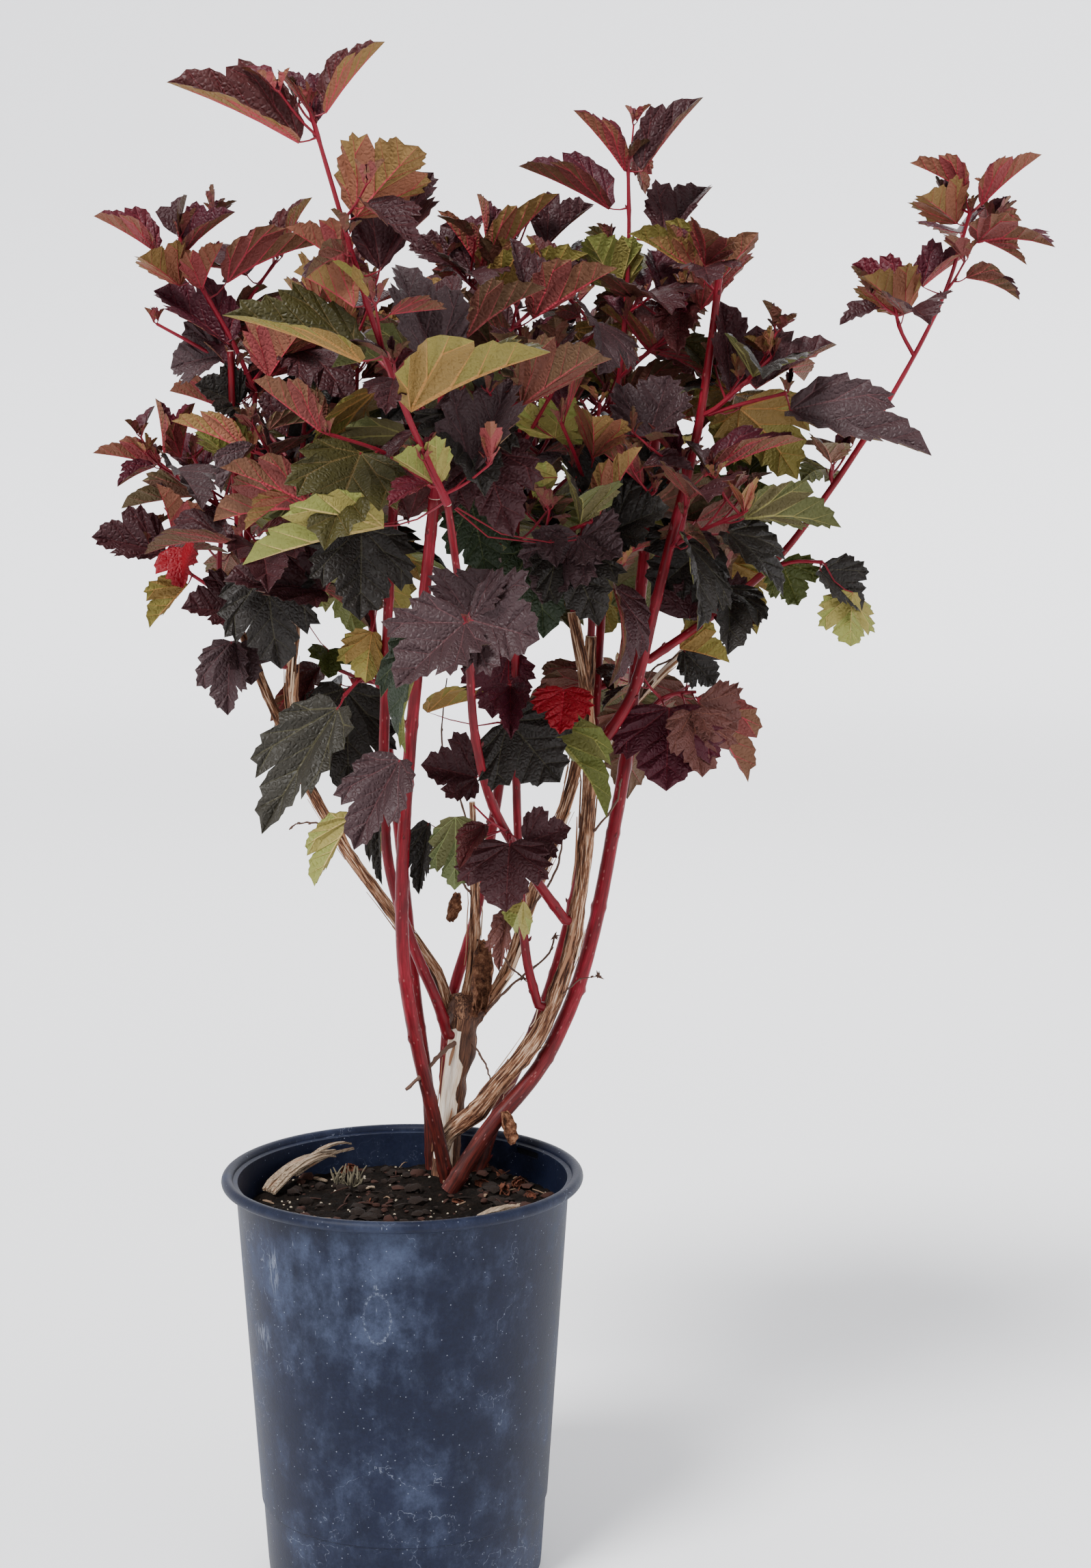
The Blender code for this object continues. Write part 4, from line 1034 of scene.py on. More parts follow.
def barked(limb, plan, carrier, settings):
    """Relief mesh of a limb along its plan's route, its end cut across."""
    route, radii, _ = plan
    chance = random.Random(limb.name + " bark")
    seed = vector_by_chance(chance, NOISE_REACH)
    stump = limb.name == "stump"
    relief = stump_relief if stump else RELIEFS[limb.slot]
    length = route_length(route)
    steps = max(12, round(length / settings.ring_step))
    fine = smooth_route(route, steps)
    thick = [value_along(radii, step / steps) for step in range(steps + 1)]
    places = [length * step / steps for step in range(steps + 1)]
    if limb.name in TORN_FEET:
        foot = [Vector(point) * CM for point in TORN_FEET[limb.name]]
        fine[:3] = smooth_route([*foot, fine[3]], FOOT_STEPS)[:-1]
        thick[:3] = [between((2.5 * MM, thick[3]), (step / FOOT_STEPS) ** 0.6)
                     for step in range(FOOT_STEPS)]
        places[:3] = [places[3] - (FOOT_STEPS - step) * settings.ring_step
                      for step in range(FOOT_STEPS)]
    elif carrier is not None:
        fine = sunk_start(fine, carrier)
        thick.insert(0, thick[0] * 1.12)
        places.insert(0, 0.0)
    elif stump:
        end, ahead, size = fine[-1], (fine[-1] - fine[-2]).normalized(), thick[-1]
        fine += [end + ahead * rise for rise, _ in STUMP_HEAD]
        thick += [size * share for _, share in STUMP_HEAD]
        places += [length + rise for rise, _ in STUMP_HEAD]
    nodes = cane_nodes(limb, length)
    sides = settings.sides
    corners, grain, wear = [], [], []
    frames = frames_along(fine)
    for point, radius, place, frame_here in zip(fine, thick, places, frames):
        for angle in turns(sides):
            swell, bare = relief(place, angle, radius, nodes, seed)
            reach = radius * (0.97 + swell * (0.3 if frame_here is frames[-1] else 1))
            corners.append(point + reach * spun(frame_here, angle))
            grain.append((*polar(radius, angle), place))
            wear.append(bare)
    sheaf = Sheaf()
    faces = [*ring_faces(len(fine), sides), tuple(reversed(range(sides)))]
    sheaf.add(corners, faces, 0, grain, wear)
    cap_end(sheaf, fine[-1], frames[-1], thick[-1], places[-1], sides, chance, int(not stump))
    finishes = [bpy.data.materials[name] for name in (SLOT_BARK[limb.slot], "cut_wood")]
    return sheaf.piece("bark_of_" + limb.name, finishes, smooth_angle=60)


def cap_end(sheaf, point, frame_here, radius, place, sides, chance, kind):
    """Close a limb's end with a rough cut face: a bevelled rim, the wood and its sunk pith."""
    corners = []
    for share, rise in ((0.88, 0.10), (0.45, 0.06), (0.16, -0.10)):
        for angle in turns(sides):
            lift = frame_here[0] * (radius * (rise + chance.uniform(-0.05, 0.05)))
            corners.append(point + spun(frame_here, angle) * (radius * share) + lift)
    count = len(corners)
    faces = [*ring_faces(4, sides, -sides), tuple(range(count - sides, count))]
    sheaf.add(corners, faces, kind, [(0.0, 0.0, place)] * count, [float(kind)] * count)


def bark_strip(route, radii, start, length, angle, width, lift):
    """A thin strip of bark that has come loose and bows away from its limb."""
    total = route_length(route)
    corners = []
    stations = 7
    for step in range(stations):
        share = step / (stations - 1)
        place = (start + share * length) / total
        point, ahead = along_route(route, place)
        out = Matrix.Rotation(angle + 0.25 * share, 3, ahead) @ ahead.orthogonal().normalized()
        along = ahead.cross(out)
        radius = radii[min(int(place * (len(radii) - 1)), len(radii) - 1)]
        bow = lift * (share ** 2.4) + 0.4 * MM
        half = 0.5 * width * (1 - 0.75 * abs(2 * share - 0.9) ** 2) + 0.15 * MM
        middle = point + out * (radius * 1.02 + bow)
        corners += [middle + along * (sideways * half) + out * (outward * 0.45 * MM)
                    for sideways, outward in ((-1, 0), (1, 0), (1, 1), (-1, 1))]
    return corners, closed_rings(stations, 4)


# Leaves

# Corners of the right half of a blade: across and along for an old lobed leaf, the same for a
# young pointed one, and how far the corner is raised, in thousandths of the blade's length
BLADE = {"O": (0, 0, 0, 0, -4), "M2": (0, 300, 0, 300, -6), "M3": (0, 500, 0, 500, -6),
         "M4": (0, 700, 0, 700, -4), "T": (0, 1000, 0, 1000, 0), "B1": (240, 110, 160, 130, -10),
         "L1": (200, 260, 170, 270, -12), "L2": (350, 460, 310, 450, -12),
         "b0": (130, -40, 70, 20, 4), "t1": (270, 0, 170, 60, -4), "n1": (300, 60, 200, 110, 12),
         "t2": (420, 110, 310, 160, -6), "n2": (400, 180, 310, 220, 10),
         "t3": (480, 260, 410, 310, -6), "s1": (360, 330, 380, 360, 20),
         "t4": (500, 420, 480, 450, -6), "n4": (430, 480, 430, 490, 12),
         "t5": (470, 610, 440, 590, -6), "n5": (380, 600, 360, 600, 10),
         "t6": (350, 680, 330, 670, -4), "s2": (210, 560, 220, 650, 22),
         "t7": (260, 740, 260, 780, -4), "n7": (180, 770, 190, 800, 10),
         "t8": (170, 880, 160, 900, -3), "n8": (90, 900, 90, 920, 6)}
# Fine teeth: the notch before a main tooth and that tooth
FINE_TEETH = (("n2", "t3"), ("s1", "t4"), ("n4", "t5"), ("s2", "t7"), ("n7", "t8"))
# Panels between the veins of a large blade and of a small one, each filled by a fan from its
# raised middle, the same above and below
PANELS = (("O", "b0", "t1", "n1", "t2", "B1"), ("B1", "t2", "n2", "f3", "g3", "t3"),
          ("O", "B1", "t3", "s1", "f4", "g4", "t4", "L1"),
          ("L1", "t4", "n4", "f5", "g5", "t5", "L2"), ("L2", "t5", "n5", "t6"),
          ("O", "L1", "L2", "t6", "s2", "M2"), ("M2", "s2", "f7", "g7", "t7", "M3"),
          ("M3", "t7", "n7", "f8", "g8", "t8", "M4"), ("M4", "t8", "n8", "T"))
SMALL_PANELS = (("O", "b0", "t1", "t2", "L1"), ("L1", "t2", "n2", "t4"),
                ("O", "L1", "t4", "n4", "t5", "s2", "M3"), ("M3", "s2", "t7", "n7", "t8", "T"))
# Share of the full vein width at the corners that veins run through, and the veins' stretches
VEINS = {"O": 1.0, "M2": 0.85, "M3": 0.68, "M4": 0.5, "T": 0.12, "L1": 0.72, "L2": 0.52,
         "B1": 0.52, "t2": 0.10, "t3": 0.12, "t4": 0.10, "t5": 0.14, "t6": 0.10, "t7": 0.10,
         "t8": 0.10, "s2": 0.05}
STRETCHES = {frozenset(pair.split()) for pair in (
    "O M2", "M2 M3", "M3 M4", "M4 T", "O L1", "L1 L2", "L2 t5", "O B1", "B1 t3", "B1 t2",
    "L1 t4", "L2 t6", "M3 t7", "M4 t8", "M2 s2")}
RIM_LETTERS = "bfgnst"
TOOTH_LETTERS = "nst"
TOOTH_JITTER = 0.020
EDGE_JITTER = 0.008
MIDLINE = ("O", "M2", "M3", "M4", "T")
VEIN_WIDTH = 0.017               # of the blade's length, to each side at the stalk
VEIN_PROUD = 0.012               # that it stands out below
PANEL_RISE = 0.20                # of the way from a panel's middle to its corners
BLADE_THICKNESS = 0.004
YOUNG_FOLD = 0.3
SMALL_LEAF = 3.6 * CM
STALK_RADII = (1.25, 1.0, 0.62, 0.58, 0.66, 0.45)  # in millimetres, of a short stalk

# Tints, in thousandths, of the upper side, the underside, the ribs above and below, and the
# underside near the stalk
TINTS = {
    "plum": ((34, 9, 11), (85, 44, 22), (70, 16, 18), (210, 40, 40), (100, 34, 22)),
    "inky": ((16, 13, 11), (75, 78, 26), (40, 35, 22), (170, 150, 50), (85, 70, 28)),
    "slate": ((27, 24, 18), (110, 110, 40), (60, 54, 30), (170, 150, 50), (110, 95, 40)),
    # Plum leaves whose grey-purple upper side is painted sheen from the bright surroundings
    "smoke": ((42, 22, 24), (115, 80, 38), (80, 34, 37), (230, 80, 60), (130, 62, 38)),
    "wine": ((48, 6, 12), (130, 56, 30), (105, 13, 20), (310, 30, 45), (145, 36, 31)),
    "bronze": ((54, 12, 12), (182, 104, 34), (115, 18, 23), (330, 40, 50), (205, 76, 40)),
    "rose": ((75, 6, 13), (175, 64, 36), (150, 13, 24), (330, 22, 40), (195, 36, 36)),
    "olive": ((40, 34, 9), (180, 146, 34), (95, 65, 22), (340, 170, 50), (200, 124, 36)),
    "lime": ((42, 50, 10), (190, 198, 48), (100, 100, 26), (380, 280, 100), (220, 185, 50)),
    "sage": ((30, 36, 14), (100, 118, 44), (70, 80, 30), (270, 300, 120), (115, 115, 46)),
    "moss": ((15, 23, 10), (95, 105, 24), (50, 60, 24), (200, 190, 50), (105, 100, 26)),
    "scarlet": ((170, 1, 6), (200, 8, 12), (260, 8, 20), (360, 30, 30), (250, 8, 10)),
    "rust": ((90, 32, 26), (150, 68, 42), (150, 55, 38), (240, 110, 70), (160, 60, 42)),
}
FACE_PARTS = ("upper", "under", "rib_upper", "rib_under", "blush")
BLUSHED_PANELS = (0, 2, 5)

# How the tints are dealt to sprays, from their oldest leaves to their youngest
DEALS = {
    LEAF_DARK: (("inky", "plum", "moss", "inky", "olive"), ("plum", "smoke", "wine", "inky"),
                ("plum", "wine", "bronze", "wine", "plum")),
    LEAF_WINE: (("plum", "smoke", "wine"), ("wine", "plum", "olive"),
                ("wine", "plum", "rose", "bronze")),
    LEAF_GREEN: (("olive", "inky", "moss"), ("lime", "inky", "plum"), ("olive", "plum", "wine")),
}
# Leaves that stand out in the crown, each in place of the nearest one of its mass: tint, places
# of its base and tip and its width in centimetres, the fold of its halves and the turn of its
# upper side to the front in degrees, and its age from 0, old, to 1
PLACED = {
    "tall_front": (
        ("bronze", -4.9, -22.6, 107.3, -12.9, -24, 111.9, 7.6, 35, 30, 0.7),
        ("wine", -3.8, -22.8, 108.5, -6.2, -21, 112.4, 4.6, 40, 40, 0.8),
        ("bronze", -3.2, -23, 109.1, 0.2, -23.5, 114, 5, 38, 26, 0.9),
        ("bronze", -1.4, -21, 102.7, 2.9, -24, 107.4, 8.2, 24, -62, 0.75),
        ("plum", 0.1, -20, 99.3, 3.2, -18, 106.5, 8.2, 33, 58, 0.7),
        ("rose", -2, -20.5, 99.3, -5.7, -22, 102.4, 4.8, 40, -35, 0.8),
        ("bronze", -1.6, -19.8, 96.9, -5.5, -17, 99.9, 6.2, 37, -20, 0.7),
        ("olive", -1.3, -18.5, 93.4, -9.9, -21, 97.4, 8, 36, 20, 0.6),
        ("smoke", 3.7, -16, 92.8, 1, -13, 100.9, 8, 30, 62, 0.7),
        ("olive", 2.1, -21.5, 90.1, 11, -29.6, 95.1, 8.6, 32, -16, 0.6),
        ("lime", 3.6, -15, 85, 0.8, -17, 87.4, 6.4, 39, -48, 0.3),
        ("lime", -0.2, -14, 82.2, -10.2, -16, 80.7, 8, 40, -30, 0.5),
        ("smoke", 5.9, -13, 86, 8.5, -10, 93, 8.2, 33, 58, 0.5)),
    "front": (
        ("smoke", 13.5, -2, 81.2, 10.7, -4, 76.4, 7.4, 23, 72, 0.3),
        ("smoke", 13.7, -2, 80.9, 16.7, -4, 79.9, 6.4, 25, 66, 0.4),
        ("lime", 12, -2, 85.5, 9.9, -3, 84.4, 4, 26, -50, 0.5)),
    "low_front": (
        ("smoke", 5.5, -15, 75.5, 0.7, -18, 71.6, 8.4, 23, 62, 0.2),
        ("smoke", 5.9, -15, 75.7, 10.6, -17, 74.7, 9, 19, 70, 0.1),
        ("smoke", 5.7, -14, 76, 6.9, -13, 79.4, 7.5, 28, 60, 0.3)),
    "left_top": (
        ("rose", -18.5, 5, 102.5, -22.8, 4, 105.7, 5.6, 36, 18, 0.8),
        ("plum", -16.8, 5, 103.8, -16.6, 6, 107.1, 4.2, 39, 50, 0.9),
        ("wine", -16.5, 5, 102.5, -12.8, 4, 105.9, 5.6, 36, 30, 0.8),
        ("rose", -15.1, 4.5, 99.7, -13.6, 3, 103.4, 5.6, 36, -20, 0.8),
        ("bronze", -16.8, 5, 100, -19.4, 2, 102.4, 6.2, 32, -58, 0.6),
        ("wine", -13.2, 5, 95.6, -18.8, 6, 100.4, 7.6, 36, 42, 0.6),
        ("rose", -9.9, 3, 93.1, -7.2, 0, 96.7, 8.4, 32, -62, 0.4),
        ("smoke", -13.5, 5, 94.8, -18.1, 6, 94.2, 7, 23, 48, 0.4),
        ("rose", -13.6, 6, 90.7, -17.9, 7, 92.7, 6.2, 38, 6, 0.6),
        ("inky", -12.3, 4, 91, -15.2, 2, 92.6, 5.6, 27, 58, 0.4)),
    "left_side": (
        ("wine", -18.9, 9, 87.3, -19, 9, 91.7, 3.6, 41, 20, 0.9),
        ("rose", -17.6, 9, 87, -16.8, 8, 91.4, 5, 39, 8, 0.8),
        ("rose", -19.2, 9, 86.4, -24.2, 8, 88, 5, 33, -18, 0.7),
        ("rose", -18.2, 9, 80.6, -18.7, 7, 85.3, 6.2, 34, -38, 0.6),
        ("plum", -19.1, 9, 79.5, -24.5, 8, 81.3, 6.8, 30, 42, 0.4),
        ("scarlet", -17.3, 7, 80, -17.3, 5, 77.1, 4.8, 25, 62, 0.4),
        ("olive", -17.1, 8, 77.1, -20.4, 7, 74, 5.2, 31, -32, 0.3),
        ("plum", -12.2, 5, 75, -16.8, 3, 75.8, 7.2, 28, 52, 0.3)),
    "left_low": (
        ("smoke", -13.7, 8, 72.6, -14.3, 7, 66.8, 5.8, 31, 70, 0.3),
        ("smoke", -13, 8, 72.5, -11.9, 7, 69.3, 4.6, 30, 60, 0.4)),
    "left_fork": (
        ("lime", -12.5, 5, 86.2, -15.3, 3, 89.5, 6, 34, -58, 0.4),
        ("scarlet", -11.4, 4, 86.5, -11.1, 2, 84.3, 3.4, 27, 60, 0.4),
        ("plum", -8.6, 3, 88.6, -8, 4, 93.5, 5.6, 35, 50, 0.8),
        ("lime", -5.9, 6, 72.1, -5.6, 4, 70.2, 4.4, 23, 60, 0.2)),
    "left_inner": (
        ("plum", -5.6, 0, 77, -12.9, -2, 78.3, 8.2, 29, 54, 0.4),
        ("inky", -2.7, -1, 81.8, -2.6, -4, 75.2, 8.8, 18, 84, 0),
        ("olive", -2.1, 1, 73.8, -2.8, 0, 69.9, 5, 28, -62, 0.2),
        ("bronze", 1, -3, 82.5, -0.8, -5, 88, 7.6, 31, 40, 0.5)),
    "lobed_left": (
        ("slate", -4.6, -1, 68.2, -10.6, -5, 59.6, 7.4, 24, 60, 0),),
    "hanging_left": (
        ("smoke", 0.3, -5, 64.7, -3.3, -8, 58.7, 7, 28, 62, 0.3),
        ("lime", -3.3, -5, 60.4, -6.5, -8, 55.8, 4.6, 41, -46, 0.4),
        ("inky", -1.4, -1, 60.4, -1.8, -2, 54.7, 2.8, 43, 50, 0.5)),
    "hanging_centre": (
        ("sage", 4.3, -2, 60, 4.4, -4, 54.5, 5.6, 22, -82, 0.3),
        ("inky", 2.1, 1, 59.1, 0.9, 1, 53.4, 3.6, 37, 58, 0.3),
        ("plum", 8.4, -3, 58.1, 8, -6, 53.6, 8.2, 19, 74, 0.2),
        ("plum", 9.6, -3, 58.2, 12.9, -4, 59.6, 5, 24, 58, 0.3),
        ("lime", 9.4, -2, 53.6, 8.4, -4, 51.7, 5.2, 25, -72, 0.2),
        ("rust", 8.3, -2, 52.7, 7.3, -3, 48.3, 3, 42, 60, 0.3)),
    "centre_low": (
        ("inky", 8.3, -1, 67.2, 12.1, -4, 63.1, 9.6, 16, 80, 0),
        ("scarlet", 12.5, -2, 69.7, 12.1, -5, 66.9, 5, 14, 80, 0.1),
        ("plum", 5.8, 2, 62.5, 1.8, 0, 63.9, 6.8, 27, 60, 0.4),
        ("olive", 1.9, 4, 67.4, 6.9, 3, 69.4, 5, 36, -6, 0.4),
        ("wine", 8.3, 3, 72.1, 6.8, 2, 67.1, 7, 23, 72, 0.2)),
    "centre": (
        ("lime", 11.8, -1, 88.4, 12.3, 0, 92, 7.6, 27, -66, 0.1),
        ("inky", 16.6, 1, 82.9, 15.2, 3, 89.6, 9.4, 21, 62, 0.2),
        ("moss", 5.5, 0, 83.7, 6.9, -2, 77.9, 6.4, 21, 78, 0.2)),
    "right_inner": (
        ("inky", 16.1, 0, 81.5, 20.1, -2, 83.5, 6.8, 22, 60, 0.3),
        ("smoke", 18.9, 0, 88.5, 20.2, 1, 93.4, 8.4, 26, 56, 0.5)),
    "top_right": (
        ("rose", 17.2, 6, 108.7, 13.8, 5, 113.6, 4.6, 39, 8, 0.9),
        ("plum", 18.5, 6, 108.7, 22.7, 7, 115, 6, 34, 40, 0.8),
        ("wine", 16, 6, 105.9, 9.4, 7, 110.1, 7.2, 37, 20, 0.7),
        ("plum", 20.4, 7, 103.7, 23.5, 10, 108.6, 7.4, 32, 48, 0.6),
        ("olive", 22.4, 5, 101, 17.6, 3, 104.4, 6.8, 35, -28, 0.5),
        ("lime", 16.7, 7, 99.6, 14.4, 5, 104.1, 7.2, 31, -58, 0.4),
        ("wine", 20.4, 6, 98.5, 19.6, 8, 103.3, 7.2, 34, 54, 0.6),
        ("bronze", 19.7, 7, 94.9, 15.7, 8, 99.1, 7.6, 37, 24, 0.5)),
    "centre_rear": (
        ("bronze", 5.8, 10, 100.8, 11.2, 11, 108.3, 5.6, 39, -8, 0.8),
        ("rose", 6.1, 10, 101.4, 3.3, 9, 106.5, 4.2, 39, -10, 0.9),
        ("wine", 6.4, 10, 104.2, 6.1, 11, 107.7, 3.8, 39, 30, 0.9),
        ("plum", 11.2, 12, 103.6, 14.7, 13, 107.4, 6.8, 34, 40, 0.6),
        ("olive", 6.1, 8, 98.1, 13.8, 6, 103.6, 7.6, 36, -12, 0.6),
        ("plum", 5.3, 10, 101.4, 0.4, 11, 104.1, 7.2, 32, 44, 0.6)),
    "right_spray": (
        ("smoke", 29.4, 0, 90.5, 39.9, -3, 88.1, 8.4, 27, 46, 0.4),
        ("plum", 26.8, 0, 92.1, 32.8, 1, 96.1, 7.6, 35, 40, 0.5),
        ("plum", 25.1, 2, 92.1, 24.7, 1, 98.7, 7.2, 30, 54, 0.6)),
    "right_rear": (
        ("lime", 26.5, 9, 85.1, 28.5, 9, 88.1, 6, 26, 54, 0.2),
        ("lime", 27.1, 9, 85.2, 25.5, 8, 80.9, 6.4, 21, 76, 0.1),
        ("lime", 21.9, 8, 86, 24.1, 7, 80.8, 6, 33, 50, 0.3),
        ("inky", 23.9, 6, 80.4, 19.1, 5, 76.6, 8.6, 21, 64, 0.1)),
    "right_middle": (
        ("plum", 22.3, 5, 74.6, 22.6, 5, 77.8, 6.4, 29, 56, 0.3),
        ("plum", 24.2, 5, 74.9, 28.2, 5, 74.9, 7, 29, 54, 0.4),
        ("olive", 21.6, 6, 72.2, 25.6, 4, 71.7, 6.2, 35, -30, 0.3)),
    "right_low": (
        ("wine", 20.8, 6, 67.5, 20.4, 3, 61.5, 9.6, 17, 82, 0.1),
        ("rust", 22.5, 5, 67.3, 23.4, 3, 62.5, 6.6, 25, 78, 0.2),
        ("rust", 23.1, 6, 67.9, 26.2, 5, 66, 6.4, 26, 64, 0.3),
        ("inky", 22, 8, 71.9, 24.7, 8, 69.1, 5.4, 25, 66, 0.2)),
    "far_right": (
        ("rose", 42.7, 2.5, 106.8, 38.6, 2, 109.4, 4.6, 40, 0, 0.8),
        ("rose", 43.8, 2.5, 105.8, 47.7, 2, 110, 5.2, 39, -6, 0.8),
        ("bronze", 42.1, 3, 104.5, 38.8, 0, 106.7, 5.8, 31, -58, 0.4),
        ("bronze", 38.4, 3.3, 97.8, 34.8, 1, 100.9, 6.8, 30, -58, 0.4),
        ("wine", 39.6, 3, 99.8, 43.2, 4, 102.9, 5.2, 37, 28, 0.7),
        ("rose", 38.4, 5, 98.9, 34.8, 7, 102.3, 5.2, 34, 58, 0.6)),
    "far_right_low": (
        ("lime", 29.3, 4.6, 79, 30.8, 4, 75.7, 5.4, 23, 70, 0.2),
        ("inky", 32.2, 3.6, 78.4, 35.7, 3, 75.4, 6.2, 32, 50, 0.2),
        ("lime", 34.7, 3, 76.7, 34.2, 2, 72.5, 5.6, 28, -70, 0.2)),
}


def blade_points(leaf, lobe, chance, fine_teeth):
    """Corners of a leaf's blade by name, right and left, as places in space with the raised
    direction at each; lobe goes from 0, young and pointed, to 1, old and lobed."""
    side = leaf.ahead.cross(leaf.face)
    beyond = leaf.ahead * math.cos(leaf.curl) - leaf.face * math.sin(leaf.curl)
    middle = leaf.base + leaf.ahead * (0.5 * leaf.length)
    tip = (leaf.base + leaf.ahead * (SHOULDER * leaf.length)
           + beyond * ((1 - SHOULDER) * leaf.length))
    twist = math.radians(chance.uniform(-26, 26) * (0.4 + 0.6 * lobe))
    fold = leaf.fold * (1 + YOUNG_FOLD * leaf.age)
    droop = chance.uniform(0.0, 0.10) * (0.3 + 0.7 * lobe)
    wave = chance.uniform(0.010, 0.026)
    phase = chance.uniform(0, math.tau)
    points = {}
    for hand in (1, -1):
        flat = {}
        for name, numbers in BLADE.items():
            old_x, old_y, young_x, young_y, raised = (number / 1000 for number in numbers)
            x, y = between((young_x, old_x), lobe), between((young_y, old_y), lobe)
            if name not in MIDLINE:
                jitter = TOOTH_JITTER if name[0] in TOOTH_LETTERS else EDGE_JITTER
                x += chance.uniform(-jitter, jitter)
                y += chance.uniform(-jitter, jitter)
            flat[name] = (max(x, 0.0), y, raised)
        for notch, tooth in fine_teeth:
            (x, y, _), high = flat[notch], flat[tooth]
            across, along = high[0] - x, high[1] - y
            for letter, share, out in (("f", 0.42, 0.14), ("g", 0.62, 0.02)):
                flat[letter + tooth[1]] = (x + across * share + along * out,
                                           y + along * share - across * out, 0.004)
        for name, (x, y, raised) in flat.items():
            if name in MIDLINE and hand == -1:
                continue
            along = max(y, 0.0)
            spine = (leaf.base * (1 - along) ** 2 + middle * (2 * along * (1 - along))
                     + tip * along ** 2)
            if y < 0:
                spine += leaf.ahead * (y * leaf.length)
            tangent = ((middle - leaf.base) * (1 - along) + (tip - middle) * along).normalized()
            out = Matrix.Rotation(twist * along, 3, tangent) @ side
            up = out.cross(tangent).normalized()
            ripple = wave * math.sin(9 * y + phase + hand) * (2 * x) ** 2
            lift = (x * leaf.width * math.sin(fold)
                    + (raised + ripple - droop * (2 * x) ** 2) * leaf.length)
            spot = spine + out * (hand * x * leaf.width * math.cos(fold)) + up * lift
            points[name if hand == 1 else name + "*"] = (spot, up)
    return points


def other_hand(name):
    """A corner's name on the left half."""
    return name if name in MIDLINE else name + "*"


def blade_mesh(leaf, lobe, chance, small=False):
    """Corners, faces and face parts of a leaf: two faces that share their toothed rim, pleated
    between veins. A large leaf has bands along its veins, which stand out below."""
    points = blade_points(leaf, lobe, chance, () if small else FINE_TEETH)
    half = BLADE_THICKNESS * leaf.length / 2
    corners, faces, parts = [], [], []
    upper, under = {}, {}

    def put(name, spot, up, proud=0.0):
        upper[name] = under[name] = len(corners)
        if name[0] in RIM_LETTERS or name == "T":
            corners.append(spot)
        else:
            corners.extend((spot + up * half, spot - up * (half + proud)))
            under[name] += 1

    panels = SMALL_PANELS if small else PANELS
    used = {name for panel in panels for name in panel}
    for name, (spot, up) in points.items():
        if name.rstrip("*") in used:
            share = 0.0 if small else VEINS.get(name.rstrip("*"), 0.0)
            put(name, spot, up, VEIN_PROUD * share * leaf.length)
    for number, panel in enumerate(panels):
        for hand in (0, 1):
            ring = [other_hand(name) if hand else name for name in panel]
            spots = [points[name][0] for name in ring]
            up = sum((points[name][1] for name in ring), Vector()).normalized()
            middle = sum(spots, Vector()) / len(spots)
            reach = sum((spot - middle).length for spot in spots) / len(spots)
            middle += up * (reach * PANEL_RISE * chance.uniform(0.7, 1.3))
            centre = f"C{number}{hand}"
            put(centre, middle, up)
            veined = [not small and frozenset((first, second)) in STRETCHES
                      for first, second in zip(panel, panel[1:] + panel[:1])]
            inner = {}
            for place, name in enumerate(ring):
                if veined[place] or veined[place - 1]:
                    width = VEIN_WIDTH * leaf.length * VEINS[panel[place]]
                    inner[name] = f"V{number}{hand}{place}"
                    inward = (middle - spots[place]).normalized() * width
                    put(inner[name], spots[place] + inward, up)
            for place, first in enumerate(ring):
                second = ring[(place + 1) % len(ring)]
                near, far = inner.get(first, first), inner.get(second, second)
                pieces = [((centre, near, far), 0)]
                rest = tuple(dict.fromkeys((near, first, second, far)))
                if len(rest) > 2:
                    pieces.append((rest, 2 if veined[place] else 0))
                for names, part in pieces:
                    names = tuple(reversed(names)) if hand else names
                    faces.append(tuple(upper[name] for name in names))
                    faces.append(tuple(under[name] for name in reversed(names)))
                    parts += [part, 4 if part == 0 and number in BLUSHED_PANELS else part + 1]
    return corners, faces, parts


def stalk_rod(leaf):
    """A leaf's stalk, thicker where it meets the twig, with a slight bend."""
    run = leaf.base - leaf.root
    bend = Vector((0, 0, -0.10 * run.length)) + leaf.ahead * (0.06 * run.length)
    route = [leaf.root - run * 0.04, leaf.root + run * 0.08, leaf.root + run * 0.4 + bend,
             leaf.root + run * 0.75 + bend * 0.7, leaf.base, leaf.base + leaf.ahead * 2 * MM]
    size = 0.7 + 4 * leaf.length
    return tube(route, [radius * MM * size for radius in STALK_RADII], 5)


def twig_rod(route, radii, leaves, chance):
    """A leafy twig with a swollen node under each leaf."""
    steps = max(6, round(route_length(route) / (6 * MM)))
    fine = smooth_route(route, steps)
    thick = []
    for step, point in enumerate(fine):
        base = value_along(radii, step / steps)
        swell = sum(bump_at((point - leaf.root).length, 0, 3 * MM) for leaf in leaves)
        thick.append(base * (0.92 + 0.28 * min(swell, 1.0)) + 0.04 * base * chance.uniform(-1, 1))
    return tube(fine, thick, 7)


def crown_plan():
    """Plans of all limbs and masses, worked out in the part's own order: each limb's route, radii
    and sides; each mass's twigs, sprays and taken places."""
    routes, masses = {}, {}
    taken = {limb.name: tree_of(limb_plan(limb, routes)) for limb in LIMBS}
    stems = {mass.name: stem_plan(mass, routes) for mass in MASSES}
    taken.update((name, tree_of(shape)) for name, (_, shape) in stems.items())
    for mass in MASSES:
        blocked = [tree for name, tree in taken.items() if name != mass.name]
        twigs, sprays, _ = masses[mass.name] = mass_plan(mass, *stems[mass.name], blocked)
        leaves = [leaf_shape(leaf, LEAF_ROOM) for _, grown in sprays for leaf in grown]
        taken[mass.name] = tree_of(merged(twigs + leaves))
    return routes, masses, taken


